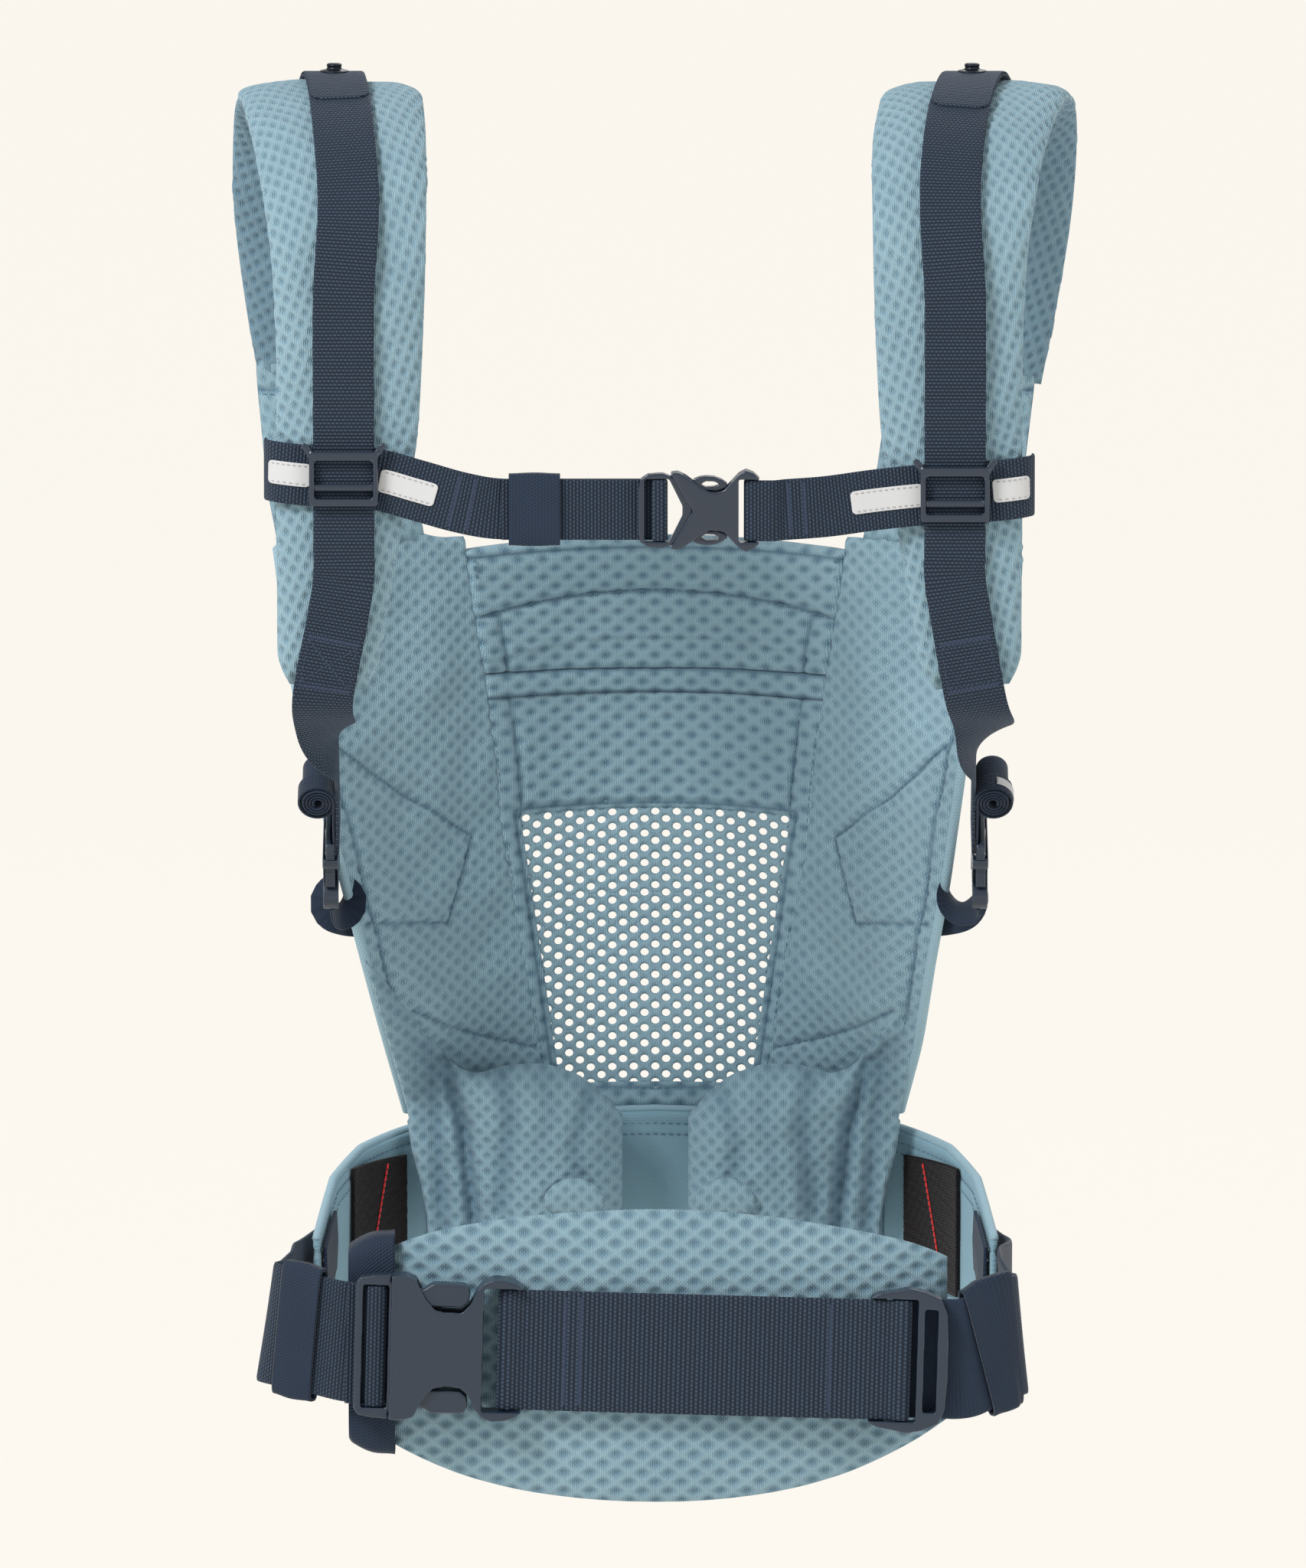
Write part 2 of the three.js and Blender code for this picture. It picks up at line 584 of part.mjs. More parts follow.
function lumbarPad() {
  const l = lumbar;
  const topLine = [[-121, 98], [-107, 106.5], [-92, 111], [-75, 114.5], [-45, 119], [0, 121.5],
    [65, 114.5], [119, 103], [122, 100]];
  const lowLine = [[-121, 28], [-107, 21.5], [-95, 15.5], [-69, 7], [-5, 0], [65, 6],
    [95, 16.5], [122, 31]];
  add("lumbar_pad", bent(16, 6, 1, (u, v, w) => {
    const x = u * l.half;
    const z = mix(read(lowLine, x), read(topLine, x), (v + 1) / 2);
    const front = l.crown + l.curve * x * x;
    const crown = Math.sqrt(1 - 0.98 * Math.abs(v) ** 3.2);
    const ends = Math.sqrt(1 - 0.75 * u ** 8);
    const half = l.thick / 2 * crown * ends;
    return vec(x, front + l.thick / 2 + w * half, z);
  }), knit);
  const ring = roundedBox(-11, 11, -47, 47, 5);
  ring.holes.push(roundedBox(-9.7, 9.7, -45.7, 45.7, 4, THREE.Path));
  add("lumbar_band", alongX(ring, 19).translate(-126.5, -103.2, 64), webbing);
}

// ---- chest strap ----
function chestSocket() {
  const edge = [[0, 15.5], [3, 16], [6, 14.6], [9.6, 12], [13, 9.6], [16, 8], [19, 7.7], [22, 8.6],
    [25, 12], [28, 15.2], [31, 16.8], [34, 15.6], [37, 12.8]];
  const notch = [[9, 0.6], [7, 3.4], [1.5, 13]];
  const body = plate(mirrored([...notch, ...edge]), -4.3, 4.3);
  const room = block(-1, 25, -2.9, 2.9, -14.6, 14.6);
  const slot = block(28, 32, -9, 9, -12.9, 12.9);
  const front = block(29, 40, -9, -1.3, -12.9, 12.9);
  const back = block(29, 40, 1.3, 9, -12.9, 12.9);
  const end = block(35.4, 40, -9, 9, -12.9, 12.9);
  return cut(body, room, slot, front, back, end);
}

const chestBar = { centre: -4.6, halfX: 1.9, halfY: 1.2 };

function chestLadder() {
  const edge = [[-13, 9], [-12.2, 13], [-9, 15], [-3, 15.4], [-gap - 0.2, 14.4], [2, 13.6],
    [9, 4.5], [9, 3]];
  const plateShape = mirrored(edge);
  const body = plate(plateShape, -2.6, 2.6);
  const barL = chestBar.centre - chestBar.halfX;
  const barR = chestBar.centre + chestBar.halfX;
  const leftSlot = block(-10.5, barL, -9, 9, -12.9, 12.9);
  const rightSlot = plate(mirrored([[barR, 12.9], [-0.4, 12.9], [5, 2]]), -9, 9);
  const passage = block(-14, barL + 0.1, 0.9, 9, -12.9, 12.9);
  const barFront = block(barL - 0.1, barR + 0.1, -9, -chestBar.halfY, -12.9, 12.9);
  const barBack = block(barL - 0.1, barR + 0.1, chestBar.halfY, 9, -12.9, 12.9);
  const tongue = block(8, 20, -2, 2, -3, 3);
  return join(cut(body, leftSlot, rightSlot, passage, barFront, barBack), tongue);
}

// The springy arch that is squeezed to let go of the socket.
function chestProng(way) {
  const shape = outline([[9.4, 10.2], [9.4, 12.8], [12, 13.9], [15, 14.3], [18, 14], [21, 12.9],
    [23.4, 11.2], [23.4, 9.6], [20, 8.4], [14, 8.2]].map(([x, z]) => [x, way * z]));
  shape.holes.push(new THREE.Path([[12.4, 10.8], [14.5, 12.1], [18, 12], [20.5, 10.8], [18, 9.9],
    [14.4, 9.7]].map(([x, z]) => new THREE.Vector2(x, way * z))));
  return plate(shape, -2.6, 2.6);
}

function chestBuckle() {
  const group = new THREE.Group();
  group.position.set(chest.mouth, chest.y, chest.z);
  carrier.add(group);
  add("chest_buckle_socket", chestSocket(), plastic, group);
  add("chest_buckle_ladder", chestLadder(), plastic, group);
  add("chest_prong_upper", chestProng(1), plastic, group);
  add("chest_prong_lower", chestProng(-1), plastic, group);
  const back = chestBar.halfY + gap;
  add("chest_strap_tail", webLoop(1, chestBar, web.thin, web.narrow,
    [-68, chestBar.centre - 1, back, back + web.thin]), webbing, group);
  const keeper = { x: [-66, -45], y: [-0.6, 6.1], half: 14.9, wall: 1.2 };
  const ring = roundedBox(...keeper.y, -keeper.half, keeper.half, 0.8);
  ring.holes.push(roundedBox(keeper.y[0] + keeper.wall, keeper.y[1] - keeper.wall,
    -keeper.half + keeper.wall, keeper.half - keeper.wall, 0.4, THREE.Path));
  const loop = alongX(ring, keeper.x[1] - keeper.x[0], 3);
  add("chest_keeper", loop.translate(keeper.x[0], 0, 0), webbing, group);
}

function chestWebs() {
  const up = () => vec(0, 0, 1);
  const outside = (s, z) => [
    vec(s * 157.2 + frontShift, -93, z + 2.5), vec(s * 157 + frontShift, -98, z + 2.4),
    vec(s * 153.5 + frontShift, -103.2, z + 2.2), vec(s * 147 + frontShift, -106, z + 1.6),
    vec(s * 138 + frontShift, -106.6, z + 0.8), vec(s * sliderX + frontShift, -106.6, z),
    vec(s * 112 + frontShift, -106.6, z - 0.6)];
  const behind = chest.y + chestBar.halfY + gap + web.thin + gap + web.thin / 2;
  const left = [...outside(-1, sliderZ.left), vec(-98, -107, 418.5), vec(-80, -107.8, 413.5),
    vec(-66, behind, 411), vec(-50, behind, chest.z), vec(-20, behind, chest.z),
    vec(chest.mouth - 4.5, behind, chest.z)];
  const flat = { width: web.narrow, thick: web.thin, columns: 1, across: up };
  add("chest_web_left", strap({ ...flat, points: left, steps: 28 }), webbing);
  const join0 = chest.mouth + 38.5;
  const right = [...outside(1, sliderZ.right), vec(90, -107.6, 414.5), vec(70, -109.5, 412),
    vec(join0 + 8, chest.y + 0.4, chest.z + 0.1), vec(join0 - 1.2, chest.y, chest.z)];
  const run = strap({ ...flat, points: right, steps: 22 });
  const ring = loopShape(chest.mouth + 33.7, 1.9, 1.3, web.thin);
  const loop = column(ring, -web.narrow / 2, web.narrow / 2).translate(0, chest.y, chest.z);
  add("chest_web_right", join(run, loop), webbing);
  reflectiveStrip("left", left, -100, -89);
  reflectiveStrip("right", right, 78, 108);
  for (const [name, s] of Object.entries(sides)) chestSlider(name, s);
}

// A bright strip sewn on the chest web's front, between two X positions.
function reflectiveStrip(name, points, x0, x1) {
  const curve = new THREE.CatmullRomCurve3(points, false, "centripetal");
  const find = (x) => {
    let best = 0;
    for (let i = 0; i <= 400; i++) {
      const t = i / 400;
      if (Math.abs(curve.getPointAt(t).x - x) < Math.abs(curve.getPointAt(best).x - x)) best = t;
    }
    return best;
  };
  const [a, b] = [find(x0), find(x1)];
  add(`reflective_strip_${name}`, bent(6, 1, 1, (u, v, w) => {
    const point = curve.getPointAt(mix(a, b, (u + 1) / 2));
    return point.add(vec(0, -web.thin / 2 - gap - 0.25 + w * 0.25, v * 4.8));
  }), reflective);
}

function chestSlider(name, s) {
  const group = new THREE.Group();
  group.position.set(s * sliderX + frontShift, -106.6, sliderZ[name]);
  carrier.add(group);
  const front = [-6.2, -3.1];
  const frame = roundedBox(-14.1, 14.1, -11.2, 11.2, 1.6);
  frame.holes.push(roundedBox(-12, 12, -8.2, 7.6, 1.6, THREE.Path));
  const ear = (way) => outline([[13, 8.5], [14.1, 8.5], [17.4, 13.6], [16.6, 15], [14.6, 14.2],
    [12.4, 11]].map(([x, z]) => [way * x, z]));
  const rail = block(12.9, 14.1, -4, -0.7 - gap, -11, 11);
  const rails = [rail, rail.clone().translate(-27, 0, 0)];
  const bar = block(-12.4, 12.4, -5.2, -3.1, -5, -2.3);
  const body = join(plate(frame, ...front), bar, ...rails,
    plate(ear(1), -5.6, -3.1), plate(ear(-1), -5.6, -3.1));
  add(`chest_slider_${name}`, body, plastic, group);
}

// ---- side buckles ----
function sideBuckle(name, s) {
  const k = side.scale;
  const group = new THREE.Group();
  const inward = vec(-s, 0, 0);
  const basis = new THREE.Matrix4().makeBasis(sideRun, inward, sideRun.clone().cross(inward));
  group.applyMatrix4(basis.setPosition(sideMouth(s)));
  carrier.add(group);
  add(`side_buckle_socket_${name}`, socketGeometry(k), plastic, group);
  add(`side_buckle_ladder_${name}`, ladderGeometry(k), plastic, group);
  add(`side_prong_upper_${name}`, prongGeometry(k, 1), plastic, group);
  add(`side_prong_lower_${name}`, prongGeometry(k, -1), plastic, group);
  const back = buckle.bar.halfY * k + gap;
  const leg = [-28, buckle.bar.centre * k - 1, back, back + sideWeb.thin];
  const loop = webLoop(k, buckle.bar, sideWeb.thin, sideWeb.width, leg);
  const roll = new THREE.CylinderGeometry(7, 7, sideWeb.width, 16).rotateX(Math.PI / 2)
    .translate(-28, -5, 0);
  add(`side_strap_tail_${name}`, join(loop, roll), webbing, group);
}

function sideAnchorWeb(name, s) {
  const k = side.scale;
  const bar = sideMouth(s).addScaledVector(sideRun, buckle.socketBar.centre * k);
  const start = bar.clone().addScaledVector(sideRun, 4.4);
  const onPanel = (r, z) => {
    const x = s * edgeX(s, z) * r;
    return panelPoint(x, z).addScaledVector(panelNormal(x, z), panel.thick / 2 + 3);
  };
  const points = [start, start.clone().addScaledVector(sideRun, 5), onPanel(0.99, 219),
    onPanel(0.9, 214), onPanel(0.83, 212)];
  const first = sideRun.clone().cross(vec(-s, 0, 0));
  const ending = s * edgeX(s, 212) * 0.85;
  const last = panelPoint(ending, 200).sub(panelPoint(ending, 225)).normalize();
  if (first.z > 0) first.negate();
  const run = strap({ points, width: sideWeb.width, thick: sideWeb.thin, steps: 12, columns: 1,
    across: (t) => first.clone().lerp(last, smooth(t / 0.6)) });
  const socket = buckle.socketBar;
  const ring = loopShape(0, socket.halfX * k, socket.halfY * k, sideWeb.thin);
  const loop = column(ring, -sideWeb.width / 2, sideWeb.width / 2);
  const inward = vec(-s, 0, 0);
  loop.applyMatrix4(new THREE.Matrix4().makeBasis(sideRun, inward, sideRun.clone().cross(inward))
    .setPosition(bar));
  const reach = bar.clone().addScaledVector(sideRun, 2);
  const bridge = strap({ points: [reach, start.clone().addScaledVector(sideRun, 0.6)],
    width: sideWeb.width, thick: sideWeb.thin, steps: 1, columns: 1, across: () => first });
  add(`side_anchor_web_${name}`, join(run, loop, bridge), webbing);
}

bodyPanel();
waistBelt();
thighPads();
for (const [name, s] of Object.entries(sides)) {
  shoulderPad(name, s);
  strapAnchor(name, s);
  shoulderWeb(name, s);
  sideBuckle(name, s);
  sideAnchorWeb(name, s);
}
chestBuckle();
chestWebs();
waistFront();
waistWebs();
lumbarPad();

export default carrier;
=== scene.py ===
# Soft baby carrier: fabrics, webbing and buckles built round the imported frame.
# Shapes are worked out in millimetres and stored in metres.
import bpy
import numpy as np
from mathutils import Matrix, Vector


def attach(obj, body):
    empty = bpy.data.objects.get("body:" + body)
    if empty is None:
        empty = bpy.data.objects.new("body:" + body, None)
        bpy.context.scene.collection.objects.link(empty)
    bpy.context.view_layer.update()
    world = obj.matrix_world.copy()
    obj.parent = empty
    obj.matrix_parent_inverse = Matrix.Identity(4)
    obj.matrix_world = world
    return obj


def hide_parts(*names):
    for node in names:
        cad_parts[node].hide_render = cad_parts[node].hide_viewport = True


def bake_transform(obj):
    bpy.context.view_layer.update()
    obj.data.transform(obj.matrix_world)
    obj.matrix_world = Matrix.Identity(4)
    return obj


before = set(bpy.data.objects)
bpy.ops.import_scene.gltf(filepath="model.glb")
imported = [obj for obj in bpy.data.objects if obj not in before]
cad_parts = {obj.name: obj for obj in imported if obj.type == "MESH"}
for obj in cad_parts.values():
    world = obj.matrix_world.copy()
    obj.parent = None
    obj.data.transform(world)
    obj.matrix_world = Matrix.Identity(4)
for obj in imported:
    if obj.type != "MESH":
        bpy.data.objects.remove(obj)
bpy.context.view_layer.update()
print("frame loaded:", len(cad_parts), "nodes")

mm = 0.001
gap = 0.3
sides = {"left": -1, "right": 1}
across1 = np.array([1.0, 0, 0])
up1 = np.array([0, 0, 1.0])


# ---- arithmetic on whole arrays ----
def mix(a, b, t):
    return a + (b - a) * t


def ease(t):  # 3t^2 - 2t^3, held at 0 and 1 outside
    t = np.clip(t, 0, 1)
    return t * t * (3 - 2 * t)


def unit(v):
    return v / np.maximum(np.linalg.norm(v, axis=-1, keepdims=True), 1e-9)


def vec(x, y, z):
    return np.stack(np.broadcast_arrays(np.asarray(x, float), y, z), -1)


def table(rows, at, soften=0.0):  # straight-line reading of (where, value) rows, averaged over at +- soften
    where, value = np.array(rows, float).T
    offsets = np.linspace(-soften, soften, 9 if soften else 1)
    return sum(np.interp(at + o, where, value) for o in offsets) / len(offsets)


def pathAt(points, t):  # centripetal Catmull-Rom curve, t running evenly over the points
    p = np.array(points, float)
    p = np.vstack([2 * p[0] - p[1], p, 2 * p[-1] - p[-2]])
    place = np.clip(t, 0, 1) * (len(p) - 3)
    i = np.minimum(place.astype(int), len(p) - 4)
    f = (place - i)[..., None]
    a, b, c, d = p[i], p[i + 1], p[i + 2], p[i + 3]
    ab, bc, cd = [np.sqrt(np.linalg.norm(k, axis=-1, keepdims=True)) for k in (b - a, c - b, d - c)]
    m1 = ((b - a) / ab - (c - a) / (ab + bc) + (c - b) / bc) * bc
    m2 = ((c - b) / bc - (d - b) / (bc + cd) + (d - c) / cd) * bc
    return b + f * m1 + f**2 * (3 * (c - b) - 2 * m1 - m2) + f**3 * (2 * (b - c) + m1 + m2)


def evenT(points, share):  # the curve's t at shares of its length
    t = np.linspace(0, 1, 3000)
    steps = np.linalg.norm(np.diff(pathAt(points, t), axis=0), axis=1)
    run = np.concatenate([[0], np.cumsum(steps)])
    return np.interp(share, run / run[-1], t)


def alongOf(line):  # distance run along a line of points
    steps = np.linalg.norm(np.diff(line, axis=0), axis=1)
    return np.concatenate([[0], np.cumsum(steps)])


def resample(grid, count, axis):  # Catmull-Rom reading of a grid at count even places along an axis
    g = np.moveaxis(grid, axis, 0)
    place = np.linspace(0, len(g) - 1, count)
    i = np.minimum(place.astype(int), len(g) - 2)
    f = (place - i).reshape((-1,) + (1,) * (g.ndim - 1))
    a, b, c, d = g[np.maximum(i - 1, 0)], g[i], g[i + 1], g[np.minimum(i + 2, len(g) - 1)]
    made = b + f * (c - a) / 2 + f**2 * (a - 2.5 * b + 2 * c - d / 2) + f**3 * (1.5 * (b - c) + (d - a) / 2)
    return np.moveaxis(made, 0, axis)


def gridNormals(p):
    return unit(np.cross(np.gradient(p, axis=0), np.gradient(p, axis=1)))


def noise2(u, v, seed, size, octaves=3):  # smooth random field: sums of crossed sine waves
    rng = np.random.default_rng(seed)
    total = 0
    for k in range(octaves * 3):
        turn, phase = rng.uniform(0, 2 * np.pi, 2)
        scale = 2 * np.pi / size * rng.uniform(0.7, 1.4) * 1.8 ** (k // 3)
        total = total + np.sin((u * np.cos(turn) + v * np.sin(turn)) * scale + phase) / 1.8 ** (k // 3)
    return total / 3


def segmentDistance(x, z, points):  # least distance from (x, z) to a broken line
    best = np.full(np.shape(x), 1e9)
    for (x0, z0), (x1, z1) in zip(points[:-1], points[1:]):
        dx, dz = x1 - x0, z1 - z0
        t = np.clip(((x - x0) * dx + (z - z0) * dz) / (dx * dx + dz * dz), 0, 1)
        best = np.minimum(best, np.hypot(x - x0 - t * dx, z - z0 - t * dz))
    return best


# ---- meshes ----
def quadsOf(nu, nv, wrap=False):
    rows = np.arange(nu if wrap else nu - 1)[:, None]
    cols = np.arange(nv - 1)[None, :]
    nextRow = (rows + 1) % nu
    made = [rows * nv + cols, nextRow * nv + cols, nextRow * nv + cols + 1, rows * nv + cols + 1]
    return np.stack(np.broadcast_arrays(*made), -1)


def volumeOf(points, quads):
    a, b, c, d = (points[quads[:, k]] for k in range(4))
    return (a * np.cross(b, c)).sum() + (a * np.cross(c, d)).sum()


def shell(front, back, keep=None, wrap=False):
    # Two grids joined by a wall along every border edge; keep says which cells are there.
    nu, nv = front.shape[:2]
    n = nu * nv
    cells = quadsOf(nu, nv, wrap)
    faces = cells.reshape(-1, 4) if keep is None else cells[keep]
    start, end = faces.ravel(), np.roll(faces, -1, axis=1).ravel()
    key = np.minimum(start, end) * n + np.maximum(start, end)
    _, place, count = np.unique(key, return_inverse=True, return_counts=True)
    rim = count[place] == 1
    wall = np.stack([end[rim], start[rim], start[rim] + n, end[rim] + n], -1)
    quads = np.vstack([faces, faces[:, ::-1] + n, wall])
    return np.vstack([front.reshape(-1, 3), back.reshape(-1, 3)]), quads


def pillow(front, back):  # two grids that share their border
    nu, nv = front.shape[:2]
    inner = np.zeros((nu, nv), bool)
    inner[1:-1, 1:-1] = True
    index = np.arange(nu * nv).reshape(nu, nv)
    behind = index.copy()
    behind[inner] = nu * nv + np.arange(inner.sum())
    cells = quadsOf(nu, nv).reshape(-1, 4)
    quads = np.vstack([cells, behind.ravel()[cells][:, ::-1]])
    return np.vstack([front.reshape(-1, 3), back[inner]]), quads, inner


def makeMesh(name, points, quads, uv=None, material=None, shade=None):
    used, flat = np.unique(quads, return_inverse=True)
    quads = flat.reshape(quads.shape)
    points = points[used]
    if volumeOf(points, quads) < 0:
        quads = quads[:, ::-1]
    mesh = bpy.data.meshes.new(name)
    mesh.vertices.add(len(points))
    mesh.vertices.foreach_set("co", (points * mm).astype(np.float32).ravel())
    mesh.loops.add(quads.size)
    mesh.loops.foreach_set("vertex_index", quads.astype(np.int32).ravel())
    mesh.polygons.add(len(quads))
    mesh.polygons.foreach_set("loop_start", (np.arange(len(quads)) * 4).astype(np.int32))
    mesh.polygons.foreach_set("use_smooth", np.ones(len(quads), bool))
    if uv is not None:
        layer = mesh.uv_layers.new(name="cloth")
        layer.data.foreach_set("uv", uv[used][quads.ravel()].astype(np.float32).ravel())
    if shade is not None:
        mask = mesh.attributes.new("shade", "FLOAT", "POINT")
        mask.data.foreach_set("value", shade[used].astype(np.float32))
    mesh.update(calc_edges=True)
    mesh.validate()
    piece = bpy.data.objects.new(name, mesh)
    bpy.context.scene.collection.objects.link(piece)
    if material is not None:
        mesh.materials.append(material)
    return piece


def place(piece, body, slot, *replaced):
    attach(piece, body)
    if replaced:
        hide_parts(*replaced)
    return piece


def ribbon(name, line, wide, out, width, thick, material, wrap=False, columns=12, start=0.0):
    # A flat web swept along a line: line + wide*v*width/2 +- out*thick/2, thinner at the selvedges.
    v = np.concatenate([[-1, -0.975, -0.93], np.linspace(-0.86, 0.86, columns - 5), [0.93, 0.975, 1]])
    width = np.broadcast_to(width, len(line))[:, None, None]
    half = thick / 2 * (1 - 0.5 * np.clip((np.abs(v) - 0.93) / 0.07, 0, 1) ** 2)
    middle = line[:, None] + wide[:, None] * v[None, :, None] * width / 2
    lift = out[:, None] * half[None, :, None]
    points, quads = shell(middle + lift, middle - lift, wrap=wrap)
    run = alongOf(line) + start
    uv = np.stack(np.broadcast_arrays(v[None] * width[..., 0] / 2, run[:, None]), -1).reshape(-1, 2)
    return makeMesh(name, points, quads, np.vstack([uv, uv]), material)


def frameAlong(line, wide):  # run, wide turned square to the run, and out = run x wide
    run = unit(np.gradient(line, axis=0))
    wide = unit(wide - run * (wide * run).sum(-1, keepdims=True))
    return run, wide, np.cross(run, wide)


def joined(name, parts, material=None):
    bpy.ops.object.select_all(action="DESELECT")
    for part in parts:
        part.select_set(True)
    bpy.context.view_layer.objects.active = parts[0]
    bpy.ops.object.join()
    parts[0].name = parts[0].data.name = name
    return parts[0]


# A swept thread or piping: a ring of sides round each point of a line, closed by a small point at each end.
def cordMesh(name, line, normal, radius, material, sidesCount=8, flat=1.0):
    run, wide, out = frameAlong(line, normal)
    turn = np.linspace(0, 2 * np.pi, sidesCount, endpoint=False)
    size = np.broadcast_to(radius, len(line)).astype(float).copy()
    size[[0, -1]] *= 0.3
    ring = (np.cos(turn)[None, :, None] * out[:, None]
            + np.sin(turn)[None, :, None] * wide[:, None] * flat) * size[:, None, None]
    points = (line[:, None] + ring).reshape(-1, 3)
    cells = np.swapaxes(quadsOf(sidesCount, len(line), True), 0, 1)
    along, around = np.divmod(np.arange(len(line) * sidesCount), sidesCount)
    remap = np.empty(len(points), int)
    remap[around * len(line) + along] = np.arange(len(points))
    quads = remap[cells.reshape(-1, 4)]
    first, last = np.arange(sidesCount), (len(line) - 1) * sidesCount + np.arange(sidesCount)
    half = sidesCount // 2
    k = np.arange(half - 1)
    caps = [np.stack([e[k], e[k + 1], e[-k - 2], e[-k - 1]], -1) for e in (first, last)]
    uv = np.stack([around * radiusUv(radius, sidesCount), np.repeat(alongOf(line), sidesCount)], -1)
    return makeMesh(name, points, np.vstack([quads, caps[0][:, ::-1], caps[1]]), uv, material)


def radiusUv(radius, sidesCount):  # width of one side of a round cord
    return 2 * np.pi * float(np.max(radius)) / sidesCount


# Stitches: one small rounded bar repeated along a line, lying on the cloth.
stitchBar = {"length": 2.3, "pitch": 3.2, "width": 0.55, "height": 0.42}


def stitchShape(length, width, height):
    x = np.array([-0.5, -0.36, 0, 0.36, 0.5]) * length
    fat = np.array([0.25, 0.8, 1, 0.8, 0.25])
    rise = np.array([-0.6, 0.2, 0.6, 0.2, -0.6])
    turn = np.linspace(0, 2 * np.pi, 6, endpoint=False)
    ring = vec(x[:, None], np.cos(turn)[None] * fat[:, None] * width / 2,
               (np.sin(turn)[None] * fat[:, None] / 2 + rise[:, None] * 0.4) * height)
    body = np.swapaxes(quadsOf(6, 5, True), 0, 1).reshape(-1, 4)
    remap = np.arange(30).reshape(5, 6).T.ravel()
    ends = np.array([[0, 1, 4, 5], [1, 2, 3, 4]])
    return ring.reshape(-1, 3), np.vstack([remap[body], ends[:, ::-1], ends + 24])


def stitchesOn(line, normal, pitch=None, length=None, width=None):
    # Places one bar at every pitch along the line: centre + run*x + side*y + normal*z.
    pitch = pitch or stitchBar["pitch"]
    length = length or stitchBar["length"]
    bar, quads = stitchShape(length, width or stitchBar["width"], stitchBar["height"])
    run = alongOf(line)
    count = max(1, int(run[-1] / pitch))
    at = (np.arange(count) + 0.5) * run[-1] / count
    centre = np.stack([np.interp(at, run, line[:, k]) for k in range(3)], -1)
    ahead = np.stack([np.interp(at + 0.5, run, line[:, k]) for k in range(3)], -1)
    behind = np.stack([np.interp(at - 0.5, run, line[:, k]) for k in range(3)], -1)
    up = unit(np.stack([np.interp(at, run, normal[:, k]) for k in range(3)], -1))
    way = unit(ahead - behind)
    over = np.cross(up, way)
    points = (centre[:, None] + way[:, None] * bar[None, :, :1] + over[:, None] * bar[None, :, 1:2]
              + up[:, None] * bar[None, :, 2:])
    faces = quads[None] + (np.arange(count) * len(bar))[:, None, None]
    return points.reshape(-1, 3), faces.reshape(-1, 4)


def stitchPiece(name, runs, material, body, slot):
    points, faces, total = [], [], 0
    for p, q in runs:
        points.append(p)
        faces.append(q + total)
        total += len(p)
    piece = makeMesh(name, np.vstack(points), np.vstack(faces), None, material)
    return place(piece, body, slot)


# ---- materials ----
def linear(r, g, b):  # screen colour 0-255 to linear light
    c = np.array([r, g, b]) / 255
    return (*np.where(c <= 0.04045, c / 12.92, ((c + 0.055) / 1.055) ** 2.4), 1.0)


def wire(tree, socket, value):
    if isinstance(value, bpy.types.NodeSocket):
        tree.links.new(value, socket)
    elif value is not None:
        socket.default_value = value


def calc(tree, operation, a, b=None, c=None, clamp=False):
    node = tree.nodes.new("ShaderNodeMath")
    node.operation = operation
    node.use_clamp = clamp
    for socket, value in zip(node.inputs, (a, b, c)):
        wire(tree, socket, value)
    return node.outputs[0]


def blendColour(tree, share, a, b, kind="MIX"):
    node = tree.nodes.new("ShaderNodeMix")
    node.data_type = "RGBA"
    node.blend_type = kind
    wire(tree, node.inputs[0], share)
    wire(tree, node.inputs[6], a)
    wire(tree, node.inputs[7], b)
    return node.outputs[2]


def grainNoise(tree, vector, scale, detail=2.0, rough=0.5):
    node = tree.nodes.new("ShaderNodeTexNoise")
    wire(tree, node.inputs["Vector"], vector)
    node.inputs["Scale"].default_value = scale
    node.inputs["Detail"].default_value = detail
    node.inputs["Roughness"].default_value = rough
    return node.outputs["Fac"]


def effect(name, inputs, outputs, build):
    # A shader node group with named inputs and outputs, built once.
    group = bpy.data.node_groups.new(name, "ShaderNodeTree")
    for label, kind, value in inputs:
        socket = group.interface.new_socket(label, in_out="INPUT", socket_type=kind)
        if value is not None:
            socket.default_value = value
    for label, kind in outputs:
        group.interface.new_socket(label, in_out="OUTPUT", socket_type=kind)
    given = group.nodes.new("NodeGroupInput")
    result = group.nodes.new("NodeGroupOutput")
    made = build(group, {socket.name: socket for socket in given.outputs})
    for socket, value in zip(result.inputs, made):
        group.links.new(value, socket)
    return group


def cosine(tree, phase):  # 0.5 + 0.5 cos(2 pi phase)
    return calc(tree, "MULTIPLY_ADD", calc(tree, "COSINE", calc(tree, "MULTIPLY", phase, 2 * np.pi)), 0.5, 0.5)


def buildHollows(tree, given):
    # Phases along the two rows of a slanting lattice; hollow is the product of their cosines.
    phases = []
    for row in ("Row A", "Row B"):
        dot = tree.nodes.new("ShaderNodeVectorMath")
        dot.operation = "DOT_PRODUCT"
        tree.links.new(given["Cloth"], dot.inputs[0])
        tree.links.new(given[row], dot.inputs[1])
        phases.append(cosine(tree, dot.outputs["Value"]))
    return [calc(tree, "MULTIPLY", *phases)]


